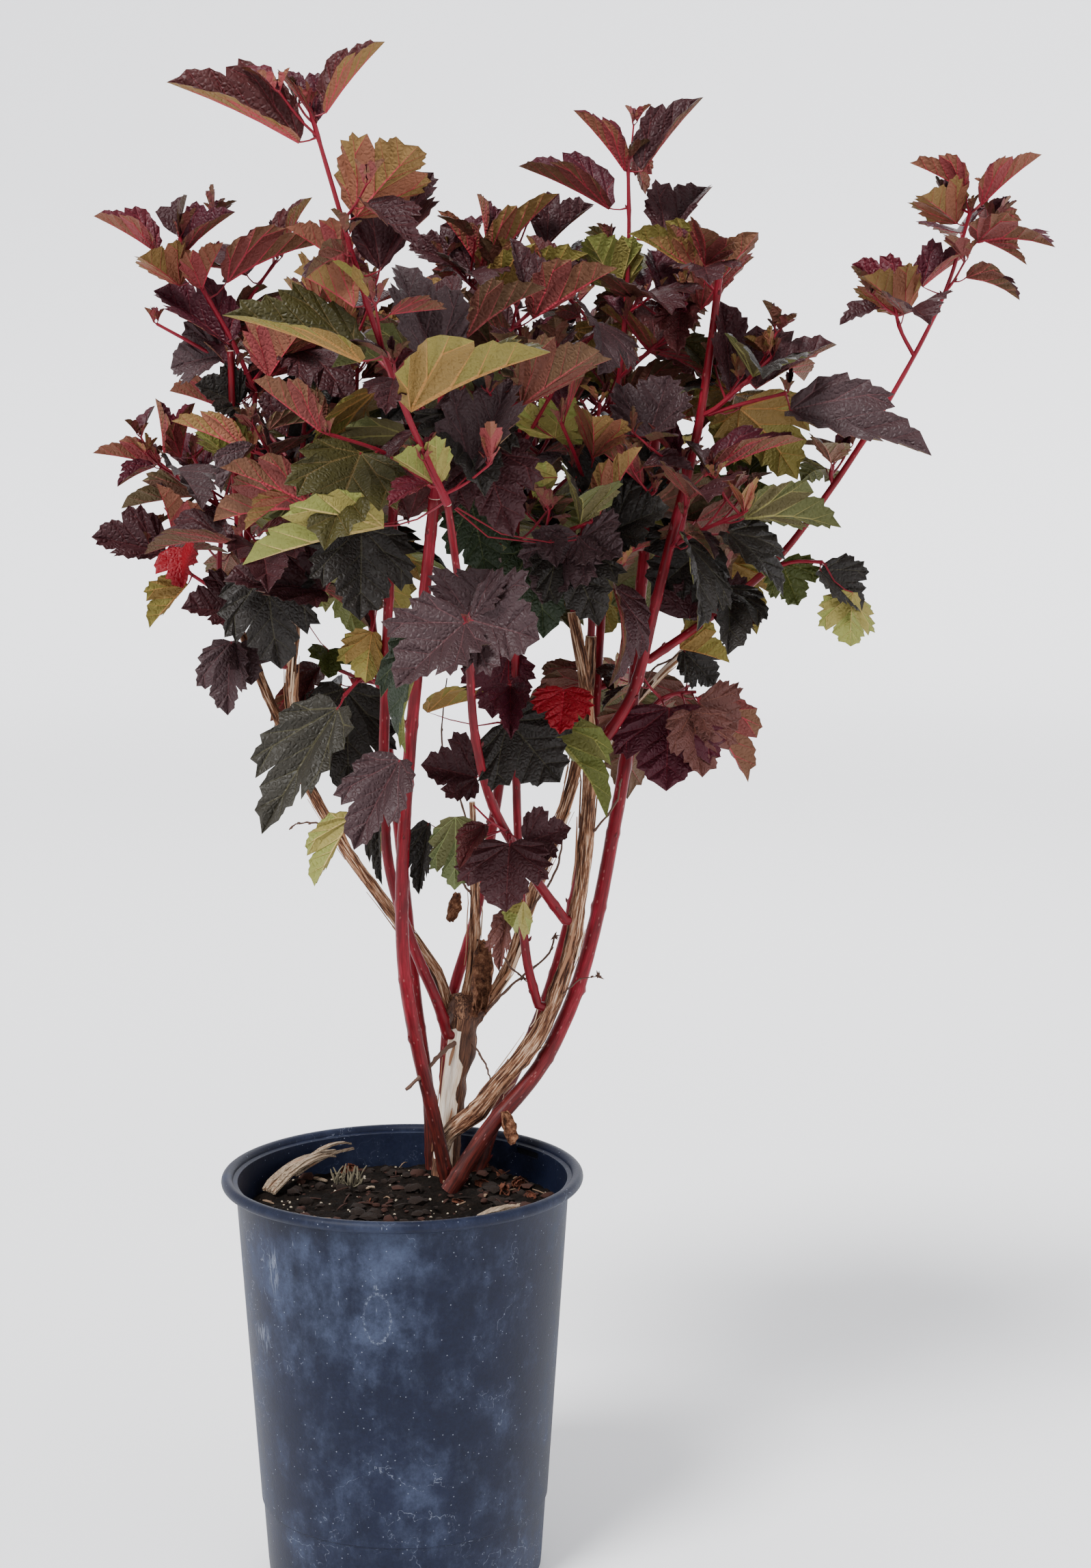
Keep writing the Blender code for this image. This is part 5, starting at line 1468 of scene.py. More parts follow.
# Young growth that the part leaves out
SPUR_LEAN = (34, 66)
SPUR_LENGTH = (2.2 * CM, 4.4 * CM)
SPUR_BLADE = (3.2 * CM, 5.6 * CM)
SPUR_RADII = (1.2 * MM, 1.0 * MM, 0.8 * MM)
SPUR_SHARE = 0.8                 # of the leaves have one
SPUR_TRIES = 5
SPUR_LEAVES = 3
SPUR_TURN = 137


def spur_leaf(node, heading, lift, length, forward, chance):
    """A small leaf of a spur."""
    out = heading_vector(heading)
    ahead = rising(out, lift)
    roll = math.radians(chance.uniform(-30, 30))
    face = Matrix.Rotation(roll, 3, ahead) @ square_to(ahead, UP)
    base = node + (forward * 0.5 + out * 0.6 + ahead * 0.4).normalized() * (0.22 * length)
    return Leaf(node, base, ahead, face, length, length * chance.uniform(0.72, 0.90),
                math.radians(chance.uniform(16, 36)), math.radians(chance.uniform(5, 32)),
                chance.uniform(0.35, 1.0))


def spurs_on(mass, sprays, own, blocked):
    """Short side shoots with small leaves from the axils of a mass's leaves, each kept clear of
    what is taken and within the mass's reach."""
    chance = random.Random(mass.name + " spurs")
    low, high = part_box(mass.name)
    grown = []
    for parent in [leaf for _, leaves in sprays for leaf in leaves]:
        if chance.random() > SPUR_SHARE:
            continue
        for _ in range(SPUR_TRIES):
            heading = math.degrees(math.atan2(parent.ahead.y, parent.ahead.x))
            heading += chance.uniform(-70, 70)
            lean = math.radians(chance.uniform(*SPUR_LEAN))
            ahead = heading_vector(heading) * math.sin(lean)
            ahead.z = math.cos(lean)
            length = chance.uniform(*SPUR_LENGTH)
            start = parent.root
            route = [start, start + ahead * (0.5 * length),
                     start + ahead * length + Vector((0, 0, 0.12 * length))]
            shape = tube([point + ahead * 2 * MM for point in route], SPUR_RADII, 3)
            if not clear_of(shape, blocked + own):
                continue
            leaves, trees = [], []
            size = chance.uniform(*SPUR_BLADE)
            for number in range(SPUR_LEAVES):
                node, forward = along_route(route, 0.45 + 0.27 * number)
                lift = math.radians(between((-20, 50), number / 2) + chance.uniform(-15, 15))
                leaf = spur_leaf(node, heading + SPUR_TURN * number + chance.uniform(-20, 20),
                                 lift, size * (1.0 - 0.18 * number), forward, chance)
                blade = leaf_shape(leaf, LEAF_ROOM)
                inside = all(low[axis] - 2 * MM < corner[axis] < high[axis] + 2 * MM
                             for corner in blade[0][3:] for axis in range(3))
                if inside and clear_of(blade, blocked + own):
                    leaves.append(leaf)
                    trees.append(tree_of(blade))
            if leaves:
                grown.append((route, leaves))
                own += trees
                break
    return grown


def tip_leaves(route, chance):
    """The small folded leaves that open at the tip of a twig."""
    point, forward = along_route(route, 1.0)
    turn = chance.uniform(0, 360)
    leaves = []
    for number in range(3):
        length = chance.uniform(1.3, 2.4) * CM * (1 - 0.2 * number)
        lift = math.radians(chance.uniform(48, 76))
        leaf = spur_leaf(point, turn + SPUR_TURN * number, lift, length, forward, chance)
        leaves.append(replace(leaf, age=1.0, fold=math.radians(50)))
    return leaves


def leaf_middle(leaves, number):
    """The middle of one of a spray's leaves."""
    return leaves[number].base + leaves[number].ahead * (leaves[number].length / 2)


def deal_tints(mass, sprays, chance):
    """A tint for each leaf of a mass: each spray is dealt its own for old, middle and young."""
    tints = []
    for _, leaves in sprays:
        dealt = [chance.choice(deal) for deal in DEALS[mass.slot]]
        tints += [dealt[min(int(leaf.age * 2.2 + chance.uniform(0, 0.8)), 2)] for leaf in leaves]
    return tints


def set_placed(masses):
    """Put each placed leaf in place of the nearest grown one of its mass, or with them where none
    is left; gives their tints."""
    tints = {}
    for name, rows in PLACED.items():
        _, sprays, own = masses["foliage_" + name]
        grown = [(leaves, number) for _, leaves in sprays for number in range(len(leaves))]
        for tint, *numbers, width, fold, roll, age in rows:
            base, tip = Vector(numbers[:3]) * CM, Vector(numbers[3:]) * CM
            ahead = (tip - base).normalized()
            toward = square_to(ahead, Vector((0, -1, 0)))
            upward = ahead.cross(toward)
            upward *= math.copysign(1, upward.z)
            face = toward * math.sin(math.radians(roll)) + upward * math.cos(math.radians(roll))
            root = min((nearest_on_route(route, base) for route, _ in sprays),
                       key=lambda spot: (spot - base).length)
            leaf = Leaf(root, base, ahead, face, (tip - base).length, width * CM,
                        math.radians(fold), math.radians(12), age)
            middle = (base + tip) / 2
            if grown:
                nearest = min(grown, key=lambda place: (leaf_middle(*place) - middle).length)
                nearest[0][nearest[1]] = leaf
                grown.remove(nearest)
            else:
                sprays[0][1].append(leaf)
            own.append(tree_of(leaf_shape(leaf, LEAF_ROOM)))
            tints[id(leaf)] = tint
    return tints


# Pot and potting mix

POT_FACETS = 128
LIP_TURNS = range(-90, 181, 15)
SLOT_TURN = math.radians(42)
SLOT_HALF_TURN = math.radians(7)
SLOT_LOW = 30.6 * CM
SLOT_HIGH = 31.3 * CM


def wall_radius(height):
    """Outside radius of the pot's wall, with its moulded step near the foot."""
    radius = between((POT_FOOT_RADIUS, POT_TOP_RADIUS), height / POT_HEIGHT)
    return radius if height > STEP_HEIGHT else radius - STEP_WIDTH


def soil_radius(height):
    """Inside radius of the pot."""
    foot = POT_FOOT_RADIUS - STEP_WIDTH - POT_WALL
    top = POT_TOP_RADIUS - POT_WALL
    return between((foot, top), (height - POT_WALL) / (POT_HEIGHT - LIP_DEPTH / 2 - POT_WALL))


def pot_profile():
    """Radius and height of each ring of the pot: up outside, over the lip and down inside."""
    bead = LIP_DEPTH / 2
    under = POT_HEIGHT - LIP_DEPTH
    rings = [(wall_radius(0) - 3 * MM, 0.0), (wall_radius(0) - 0.8 * MM, 0.6 * MM),
             (wall_radius(0), 3 * MM)]
    heights = [height * CM for height in (1, 3, 5, 5.7)]
    heights += [STEP_HEIGHT, STEP_HEIGHT + STEP_WIDTH]
    heights += [height * CM for height in range(7, 31, 3)] + [under - 2 * MM]
    rings += [(wall_radius(height), height) for height in heights]
    rings.append((wall_radius(under) + 0.6 * MM, under))
    for angle in map(math.radians, LIP_TURNS):
        rings.append((LIP_RADIUS - bead + bead * math.cos(angle),
                      POT_HEIGHT - bead + bead * math.sin(angle)))
    rings.append((POT_TOP_RADIUS - POT_WALL, POT_HEIGHT - bead - 1 * MM))
    heights = [height * CM for height in (30.5, 29.5, 28, 20, 8, 1)] + [POT_WALL]
    return rings + [(soil_radius(height), height) for height in heights]


def make_pot(settings):
    """The pot drawn up ring by ring from its underside, with the slot cut in its rim."""
    rings = pot_profile()
    bpy.ops.object.select_all(action="DESELECT")
    bpy.ops.mesh.primitive_circle_add(vertices=POT_FACETS, radius=rings[0][0], fill_type="NGON")
    pot = bpy.context.object
    pot.name = pot.data.name = "nursery_pot"
    bpy.ops.object.mode_set(mode="EDIT")
    bpy.ops.mesh.select_all(action="SELECT")
    for (radius, height), (wider, higher) in zip(rings, rings[1:]):
        bpy.ops.mesh.extrude_region_move(
            TRANSFORM_OT_translate={"value": (0, 0, higher - height)})
        bpy.ops.transform.resize(value=(wider / radius, wider / radius, 1),
                                 center_override=(0, 0, higher))
    bpy.ops.mesh.select_all(action="SELECT")
    bpy.ops.mesh.normals_make_consistent(inside=False)
    bpy.ops.mesh.select_all(action="DESELECT")
    bpy.ops.mesh.select_mode(type="FACE")
    bpy.ops.object.mode_set(mode="OBJECT")
    for face in pot.data.polygons:
        middle = face.center
        face.select = (abs(math.atan2(middle.y, middle.x) - SLOT_TURN) < SLOT_HALF_TURN
                       and SLOT_LOW < middle.z < SLOT_HIGH and middle.xy.length < POT_TOP_RADIUS)
    bpy.ops.object.mode_set(mode="EDIT")
    bpy.ops.mesh.inset(thickness=2.2 * MM, depth=0)
    bpy.ops.mesh.inset(thickness=0.2 * MM, depth=-1.3 * MM)
    bpy.ops.object.mode_set(mode="OBJECT")
    pot.data.materials.clear()
    for finish in (pot_plastic(settings, "pot_plastic", settings.dust),
                   # a near-black plain colour in the rim's slot: painted shade in the recess
                   plain_plant("slot_shade", (0.003, 0.004, 0.007), 0.7, 2, 0.1),
                   # the inside, with a third of the dust so that it shows darker: painted shade
                   pot_plastic(settings, "pot_inside", settings.dust * 0.3)):
        pot.data.materials.append(finish)
    for face in pot.data.polygons:
        # Faces inside the pot below its lip take the darker inside finish, which is painted shade.
        height, reach = face.center.z, face.center.xy.length
        inside = height < POT_HEIGHT - LIP_DEPTH and reach < wall_radius(height) - 1 * MM
        # The slot's faces take its near-black colour, painted shade.
        face.material_index = 1 if face.select else 2 if inside else 0
    bpy.ops.object.shade_smooth_by_angle(angle=math.radians(35))
    return pot


# Middle of the dustiest patch on the pot's front
POT_HAZE = (-0.05, -0.13, 0.265)
# Single marks there: x, height, half width and half height, and whether it is a dried ring or
# a patch of scrapes
POT_MARKS = ((-0.092, 0.268, 0.006, 0.024, False), (-0.103, 0.208, 0.009, 0.016, False),
             (-0.0125, 0.243, 0.010, 0.019, True), (-0.013, 0.267, 0.003, 0.003, False))


def pot_plastic(settings, name, dust_and_shade):
    """Dull black plastic with washed dust, lime streaks, scuffs and specks. Less dust, as on the
    pot's inside, leaves the plastic darker there: painted shade.
    """
    made, shading = start_material(name, 0.55, 0.16)
    place = object_place(shading)
    clouds = place.noise(70, 8.0, 0.66)
    blotches = place.stretched(1, 1, 0.7).noise(24, 9.0, 0.72)
    fine = place.noise(2.4, 4.0, 0.75)
    bend = (place.noise(30, 3.0, 0.6) - 0.5).size()
    drips = place.stretched(1, 1, 0.12).noise(6, 2.0)
    specks = 1 - place.cells(5.2).step(0.05, 0.11)
    haze = place.vector("SUBTRACT", POT_HAZE).vector("LENGTH", output="Value")
    dust = clouds * 0.45 + blotches * 0.48 + (1 - haze.step(0.03, 0.11)) * 0.10 + drips * 0.06
    dust = dust.step(0.46, 0.74) * dust_and_shade * (1 - place.part("Z").step(0.305, 0.312) * 0.5)
    colour = (clouds * 0.5 + fine * 0.5).step(0.35, 0.65).mix(
        settings.plastic_deep, settings.plastic)
    colour = (dust * (0.35 + fine * 0.9)).mix(colour, settings.dust_colour)
    scuffs = (1 - bend.step(0.0, 0.007)) * clouds.step(0.50, 0.58) * fine.step(0.40, 0.60)
    scratches = 1 - place.stretched(1, 1, 0.16).cells(7).step(0.02, 0.07)
    scratches = scratches * blotches.step(0.46, 0.56)
    front = 1 - place.part("Y").step(-0.03, -0.01)
    strokes = place.stretched(1, 1, 0.14).noise(1.7).step(0.50, 0.56)
    for x, z, wide, high, ring in POT_MARKS:
        away = place.vector("SUBTRACT", (x, 0, z)).stretched(1 / wide, 0, 1 / high)
        away = away.vector("LENGTH", output="Value")
        if ring:
            mark = 1 - (away - 1).size().step(0.03, 0.12)
            mark = mark * fine.step(0.46, 0.60) * blotches.step(0.40, 0.54)
        else:
            mark = (1 - away.step(0.3, 1.0)) * strokes
        scratches = scratches + mark * front * 0.7
    colour = ((scuffs * 0.5 + scratches * 0.45) * dust_and_shade).mix(colour, settings.lime)
    colour = (specks * fine.step(0.42, 0.54) * 0.7).mix(colour, settings.lime)
    return feed(made, shading, colour, 0.44 + dust * 0.3 + fine * 0.1,
                fine * 0.6 + blotches * 0.8, 0.25)


SOIL_RINGS = 74
SOIL_SPOKES = 190
SOIL_GAP = 0.4 * MM


def soil_level(x, y):
    """Height of the potting mix at a place: lumps, crumbs, a low mound round the plant's foot
    and a dip at the wall."""
    spot = Vector((x, y, 0))
    lumps = noise.noise(spot / (26 * MM)) * 3.2 + noise.noise(spot / (9 * MM)) * 2.4
    crumbs = noise.noise(spot / (3.6 * MM)) * 1.5 + noise.noise(spot / (1.7 * MM)) * 0.7
    mound = 4.5 * math.exp(-((x - 0.035) ** 2 + (y - 0.07) ** 2) / (2 * 0.035 ** 2))
    dip = -3.5 * max(0.0, math.hypot(x, y) / soil_radius(SOIL_TOP) - 0.90) / 0.1
    return SOIL_TOP + (lumps + crumbs + mound + dip - 0.5) * MM


def make_soil(settings):
    """The body of potting mix, its top in crumbs and clods."""
    edge = soil_radius(SOIL_TOP) - SOIL_GAP
    corners = [Vector((0, 0, soil_level(0, 0)))]
    for ring in range(1, SOIL_RINGS + 1):
        reach = edge * ring / SOIL_RINGS
        corners += [on_soil(*polar(reach, angle)) for angle in turns(SOIL_SPOKES)]
    for height in (0.20, 0.08, POT_WALL + 0.5 * MM):
        reach = soil_radius(height) - SOIL_GAP
        corners += [Vector((*polar(reach, angle), height)) for angle in turns(SOIL_SPOKES)]
    last = len(corners) - SOIL_SPOKES
    faces = [(0, 1 + spoke, 1 + (spoke + 1) % SOIL_SPOKES) for spoke in range(SOIL_SPOKES)]
    faces += [(a, d, c, b) for a, b, c, d in ring_faces(SOIL_RINGS + 3, SOIL_SPOKES, 1)]
    faces.append(tuple(reversed(range(last, len(corners)))))
    sheaf = Sheaf()
    sheaf.add(corners, faces)
    made, shading = start_material("potting_mix", 0.95, 0.08)
    place = object_place(shading)
    crumbs = place.noise(2.2, 5.0, 0.7)
    clods = place.noise(13)
    colour = (crumbs * 0.6 + clods * 0.4).step(0.36, 0.66).mix(
        settings.mix_dark, settings.mix_brown)
    chips = 1 - place.cells(4.4).step(0.08, 0.16)
    colour = (chips * clods.step(0.5, 0.6) * 0.7).mix(colour, settings.fleck)
    feed(made, shading, colour, 0.85 + crumbs * 0.15, crumbs, 1.2)
    return sheaf.piece("potting_mix", [made], smooth_angle=80)


def pebble(place, size, squash, chance):
    """An uneven grain of 20 faces."""
    golden = (1 + math.sqrt(5)) / 2
    base = []
    for a in (-1, 1):
        for b in (-golden, golden):
            base += [Vector((0, a, b)), Vector((a, b, 0)), Vector((b, 0, a))]
    turn = spin_by_chance("X", chance) @ spin_by_chance("Z", chance)
    shape = Matrix.Diagonal((1, chance.uniform(0.6, 1), squash * chance.uniform(0.7, 1.2)))
    spin = spin_by_chance("Z", chance)
    corners = []
    for corner in base:
        out = shape @ (turn @ corner.normalized())
        corners.append(place + spin @ out * (size / 2 * chance.uniform(0.8, 1.15)))
    faces = []
    for a, b, c in itertools.combinations(range(12), 3):
        run, beyond = base[b] - base[a], base[c] - base[a]
        if max(run.length, beyond.length, (base[b] - base[c]).length) < 2.1:
            flip = run.cross(beyond).dot(base[a]) < 0
            faces.append((a, c, b) if flip else (a, b, c))
    return corners, faces


def spin_by_chance(axis, chance):
    """A turn by any angle."""
    return Matrix.Rotation(chance.uniform(0, 6.28), 3, axis)


def splinter(start, run, width, thick, bow, chance, stations):
    """A flat curved sliver of wood or bark with torn ends."""
    across = run.cross(UP).normalized()
    up = across.cross(run).normalized()
    corners = []
    for step in range(stations):
        share = step / (stations - 1)
        point = start + run * share + up * (bow * 4 * share * (1 - share))
        half = width / 2 * (1.0 if 0 < step < stations - 1 else 0.55) * chance.uniform(0.8, 1.15)
        slope = across * half + up * (half * chance.uniform(-0.15, 0.15))
        point = point + run.normalized() * chance.uniform(-0.03, 0.03) * run.length
        corners += [point - slope, point + slope, point + slope + up * thick,
                    point - slope * 0.9 + up * thick]
    return corners, closed_rings(stations, 4)


def on_soil(x, y, above=0.0):
    """A place on the potting mix."""
    return Vector((x, y, soil_level(x, y) + above))


def scattered(count, chance):
    """Places spread over the potting mix."""
    for _ in range(count):
        reach = (soil_radius(SOIL_TOP) - 5 * MM) * math.sqrt(chance.uniform(0, 1))
        yield polar(reach, chance.uniform(0, math.tau))


# Dead leaf bits on the mix: place and size in centimetres
LEAF_BITS = ((5.6, 8.9, 1.9), (9.0, 5.3, 1.5), (7.8, 3.4, 1.4), (9.2, 4.2, 1.2), (9.9, 2.4, 1.0),
             (6.0, 5.0, 1.1), (-4.9, 9.3, 1.5), (7.5, 7.4, 1.1), (-2.6, 1.0, 0.9), (4.2, 1.2, 0.9))
# Chips laid one by one: place in centimetres and height above the mix in millimetres, run in
# centimetres, width, thickness and bow in millimetres, and stations along it
SINGLE_CHIPS = (
    (-9, 6.4, 5, (4.2, 4.2, 1.5), 4.5, 1.8, 9, 9),
    (-9, 6.4, 5, (4.2, 4.2, 1), 4.5, 1.8, 4, 9),
    (-8.9, 8.6, 1, (2.4, -1.6, 0.1), 4, 1.2, 1, 6),
    (6, -3, 1, (3.4, 2.2, 0.25), 9, 2, 2, 7),
    (-3.4, 4.1, 1, (0.9, 0.3, 0.1), 3.4, 1, 1, 6),
)


GRAINS, CLODS, FLAKES, LONG_CHIPS, TUFT_BLADES = 110, 330, 80, 5, 34
CLOD_SIZES = (3, 4, 5, 6, 8, 11, 14)    # in millimetres


def make_litter():
    """Perlite, clods, bark bits, wood chips and dry leaves that lie on the potting mix."""
    chance = random.Random("litter")
    grains, clods, chips, bits = Sheaf(), Sheaf(), Sheaf(), Sheaf()
    for x, y in scattered(GRAINS, chance):
        size = chance.uniform(1.2, 3.2) * MM
        grains.add(*pebble(on_soil(x, y, 0.15 * size), size, 0.8, chance))
    spots = list(scattered(CLODS, chance))
    spots += [(chance.uniform(0.06, 0.118), chance.uniform(-0.01, 0.06)) for _ in range(46)]
    for x, y in spots:
        if math.hypot(x, y) > soil_radius(SOIL_TOP) - 8 * MM:
            continue
        size = chance.choice(CLOD_SIZES) * MM * chance.uniform(0.8, 1.2)
        clods.add(*pebble(on_soil(x, y, 0.12 * size), size, 0.55, chance),
                  chance.choice((0, 0, 1)))
    for x, y in scattered(FLAKES, chance):
        run = Vector((*polar(1, chance.uniform(0, math.tau)), chance.uniform(-0.1, 0.3)))
        run *= chance.uniform(5, 20) * MM
        point = on_soil(x, y, 0.6 * MM)
        if (point + run).xy.length < soil_radius(SOIL_TOP) - 3 * MM:
            flake = splinter(point, run, chance.uniform(0.8, 3) * MM, 0.6 * MM,
                             chance.uniform(0, 1.5) * MM, chance, 4)
            clods.add(*flake, chance.choice((0, 1, 1, 2)))
    for number in range(LONG_CHIPS):
        aside = Vector((-0.81, 0.57, 0.12)) * ((number - 2) * 2.7 * MM)
        run = Vector((4.6, 6.8, 1.3)) * CM * chance.uniform(0.8, 1.02)
        start = on_soil(-10.9 * CM, 3.0 * CM, 2 * MM) + aside + run * chance.uniform(0, 0.05)
        chips.add(*splinter(start, run, 4.0 * MM, chance.uniform(1.6, 2.8) * MM,
                            chance.uniform(7, 9) * MM, chance, 9))
    for x, y, above, run, width, thick, bow, stations in SINGLE_CHIPS:
        chips.add(*splinter(on_soil(x * CM, y * CM, above * MM), Vector(run) * CM, width * MM,
                            thick * MM, bow * MM, chance, stations))
    for _ in range(TUFT_BLADES):
        x, y = -4.7 + chance.uniform(-1.2, 1.2), 6.2 + chance.uniform(-0.9, 0.9)
        run = Vector((chance.uniform(-0.7, 0.7), chance.uniform(-0.6, 0.6),
                      chance.uniform(0.5, 1.6))) * CM
        chips.add(*splinter(on_soil(x * CM, y * CM), run, 1.4 * MM, 0.5 * MM,
                            chance.uniform(-2, 2) * MM, chance, 5), 1)
    for x, y, size in LEAF_BITS:
        for _ in range(3 if size > 1.2 else 1):
            level = polar(1, chance.uniform(0, math.tau))
            ahead = Vector((*level, chance.uniform(0, 0.5))).normalized()
            start = on_soil(x * CM, y * CM, 0.2 * size * CM) - ahead * (0.5 * size * CM)
            bits.add(*curled(start, ahead, size * CM, size * 0.8 * CM, chance.uniform(1.2, 2.4),
                             chance))
    return grains, clods, chips, bits


def curled(base, ahead, length, width, roll, chance):
    """A dried leaf as a thin crumpled sheet, rolled up along its length by an angle."""
    face = square_to(ahead, Vector((0.3, -1, 0.25)))
    side = ahead.cross(face)
    seed = vector_by_chance(chance, NOISE_REACH)
    upper, under = [], []
    steps, spans = 12, 8
    for step in range(steps + 1):
        share = step / steps
        half = width / 2 * (0.16 + 0.84 * math.sin(math.pi * (0.06 + 0.88 * share)) ** 0.7)
        for span in range(spans + 1):
            turn = (2 * span / spans - 1) * roll
            reach = half / roll * (1 + 0.3 * noise.noise(seed + Vector((turn, 5 * share, 0))))
            wave = 0.09 * width * noise.noise_vector(seed + Vector((2.2 * turn, 9 * share, 1)))
            spot = (base + ahead * (length * share) + face * (0.10 * length * math.sin(3 * share))
                    + side * (reach * math.sin(turn)) - face * (reach * math.cos(turn)) + wave)
            out = side * math.sin(turn) - face * math.cos(turn)
            upper.append(spot + out * 0.2 * MM)
            under.append(spot - out * 0.2 * MM)
    row = spans + 1
    starts = [step * row + span for step in range(steps) for span in range(spans)]
    faces = [(a, a + row, a + row + 1, a + 1) for a in starts]
    rim = [*range(row), *range(2 * row - 1, (steps + 1) * row, row),
           *range((steps + 1) * row - 2, steps * row - 1, -1), *range((steps - 1) * row, 0, -row)]
    count = len(upper)
    faces += [tuple(count + corner for corner in reversed(ring)) for ring in faces]
    faces += [(a, b, b + count, a + count) for a, b in zip(rim, rim[1:] + rim[:1])]
    return upper + under, faces


# Dead twigs and what hangs on them

DEAD_TWIGS = (
    ("stump", ((3.6, 6.8, 40.9), (3, 5, 40.2), (1.6, 3.9, 38.9), (0.1, 3, 37.6)), (4.4, 3.4)),
    ("stump", ((4.6, 6.9, 41.2), (5.6, 6, 40.2), (6.4, 5.6, 38.8), (6.8, 5.5, 37.3)), (2.2, 1.3)),
    ("stump", ((4.6, 6.9, 42), (5.7, 6, 42.7), (8.6, 5, 45.7), (11.2, 4.5, 48), (11.8, 4.5, 49.6)),
     (3, 1.7)),
    ("stub_dead", ((5.3, 6.8, 49), (7.3, 5, 48.4), (8.4, 4.9, 47), (9.3, 5, 46.2)), (2, 1.4)),
    ("stub_dead", ((5.3, 6.6, 56.4), (4.5, 5.8, 60), (3, 5, 64.6), (3.4, 4.8, 70)), (2, 1.1)),
    ("stub_dead", ((5.4, 6.7, 52.2), (4.6, 6, 53.6), (4, 5.6, 55.6)), (2.4, 1.8)),
    ("bough_brown_right", ((11.6, 4.1, 43.8), (13.6, 2.6, 46.4), (15.2, 2, 46.9)), (1.5, 0.9)),
    ("bough_brown_right", ((14.2, 3.4, 57.4), (16.4, 2.4, 60.2), (17, 2, 62.4)), (2.2, 1.3)),
    ("bough_brown_left", ((-6.2, 8.8, 57.8), (-8.4, 7.4, 58.2), (-9.2, 6.6, 57.8)), (2, 1.2)),
    ("bough_brown_rear", ((9.4, 8.5, 50.4), (11.8, 6.8, 54.2), (12.6, 6.2, 58)), (2.4, 1.3)),
    ("branch_dead_right", ((18.4, 10, 67.8), (19.6, 9, 70.2), (21.2, 8.4, 71.2)), (2.2, 1.4)),
)
# Base and direction of each dried leaf, its length and width and how far it is rolled up
DRY_LEAVES = (
    ((6.1, 5.6, 49.1), (-0.03, 0, -1), 5.9, 3.6, 2.1),
    ((7.9, 3.9, 35.6), (0.22, -0.1, -0.9), 2.7, 1.8, 1.7),
    ((4.2, 5.6, 52.9), (-0.25, -0.2, -0.9), 2.4, 1.7, 1.6),
    ((5.9, 5.3, 45), (-0.25, 0.1, -0.9), 2.2, 1.6, 2.2),
)
SEED_HEADS = ((11.8, 4.5, 49.6), (9.3, 5, 46.2), (10, 4.8, 47), (15.2, 2, 46.9))


def make_snags(routes):
    """Dead twigs with their seed heads, broken spurs and the leaves dried on them."""
    chance = random.Random("snags")
    twigs, leaves = Sheaf(), Sheaf()
    for limb, points, thick in DEAD_TWIGS:
        route = [Vector(point) * CM for point in points]
        route[0] = nearest_on_route(routes[limb][0], route[0])
        fine = smooth_route(route, 5 * len(points))
        last = len(fine) - 1
        radii = [between(thick, step / last) * MM / 2 * chance.uniform(0.86, 1.16)
                 for step in range(len(fine))]
        fine[1:] = [point + Vector([chance.uniform(-0.5, 0.5) * MM for _ in range(3)])
                    for point in fine[1:]]
        twigs.add(*tube(fine, radii, 6))
        for share in (0.45, 0.7, 0.9):
            point, ahead = along_route(fine, share)
            turn = Matrix.Rotation(chance.uniform(0, 6.28), 3, ahead)
            out = turn @ ahead.orthogonal().normalized()
            twigs.add(*bud(point, ahead, out, chance.uniform(2, 4) * MM, 1.1 * MM))
    for head in SEED_HEADS:
        for _ in range(9):
            out = vector_by_chance(chance, 1).normalized()
            twigs.add(*bud(Vector(head) * CM, out, out, chance.uniform(2.5, 6) * MM, 0.9 * MM))
    for place, ahead, length, width, roll in DRY_LEAVES:
        leaves.add(*curled(Vector(place) * CM, Vector(ahead).normalized(), length * CM,
                           width * CM, roll, chance))
    return twigs, leaves


def make_strips(routes):
    """Loose strips of bark along the brown boughs, the stump and the dead limbs."""
    chance = random.Random("strips")
    strips = Sheaf()
    for route, radii, _ in [routes[limb.name] for limb in LIMBS if limb.slot != BARK_RED]:
        length = route_length(route)
        for _ in range(max(3, round(length / (2.2 * CM)))):
            run = chance.uniform(1.6, 6.5) * CM
            start = chance.uniform(0.01, max(0.012, length - run - 0.01))
            if start + run > length:
                continue
            strips.add(*bark_strip(route, radii, start, run, chance.uniform(0, math.tau),
                                   chance.uniform(0.9, 3.0) * MM, chance.uniform(0.2, 3.2) * MM),
                       chance.choice((0, 0, 1)))
    return strips


def make_buds(routes):
    """Buds at the nodes of the red canes."""
    chance = random.Random("buds")
    buds = Sheaf()
    for limb in LIMBS:
        if limb.slot != BARK_RED:
            continue
        route, radii, _ = routes[limb.name]
        length = route_length(route)
        for place, angle in cane_nodes(limb, length):
            point, ahead = along_route(route, place / length)
            across = square_to(ahead, frames_along(route)[0][1])
            out = spun((ahead, across, ahead.cross(across)), angle)
            radius = between((radii[0], radii[-1]), place / length)
            buds.add(*bud(point + out * radius * 0.95, ahead, out, chance.uniform(2.6, 4.4) * MM,
                          chance.uniform(0.9, 1.3) * MM))
    return buds


# Settings

def hue(name, description, value):
    """A colour that a user can change."""
    return FloatVectorProperty(name=name, description=description, default=value, size=3,
                               subtype="COLOR", min=0.0, max=1.0)


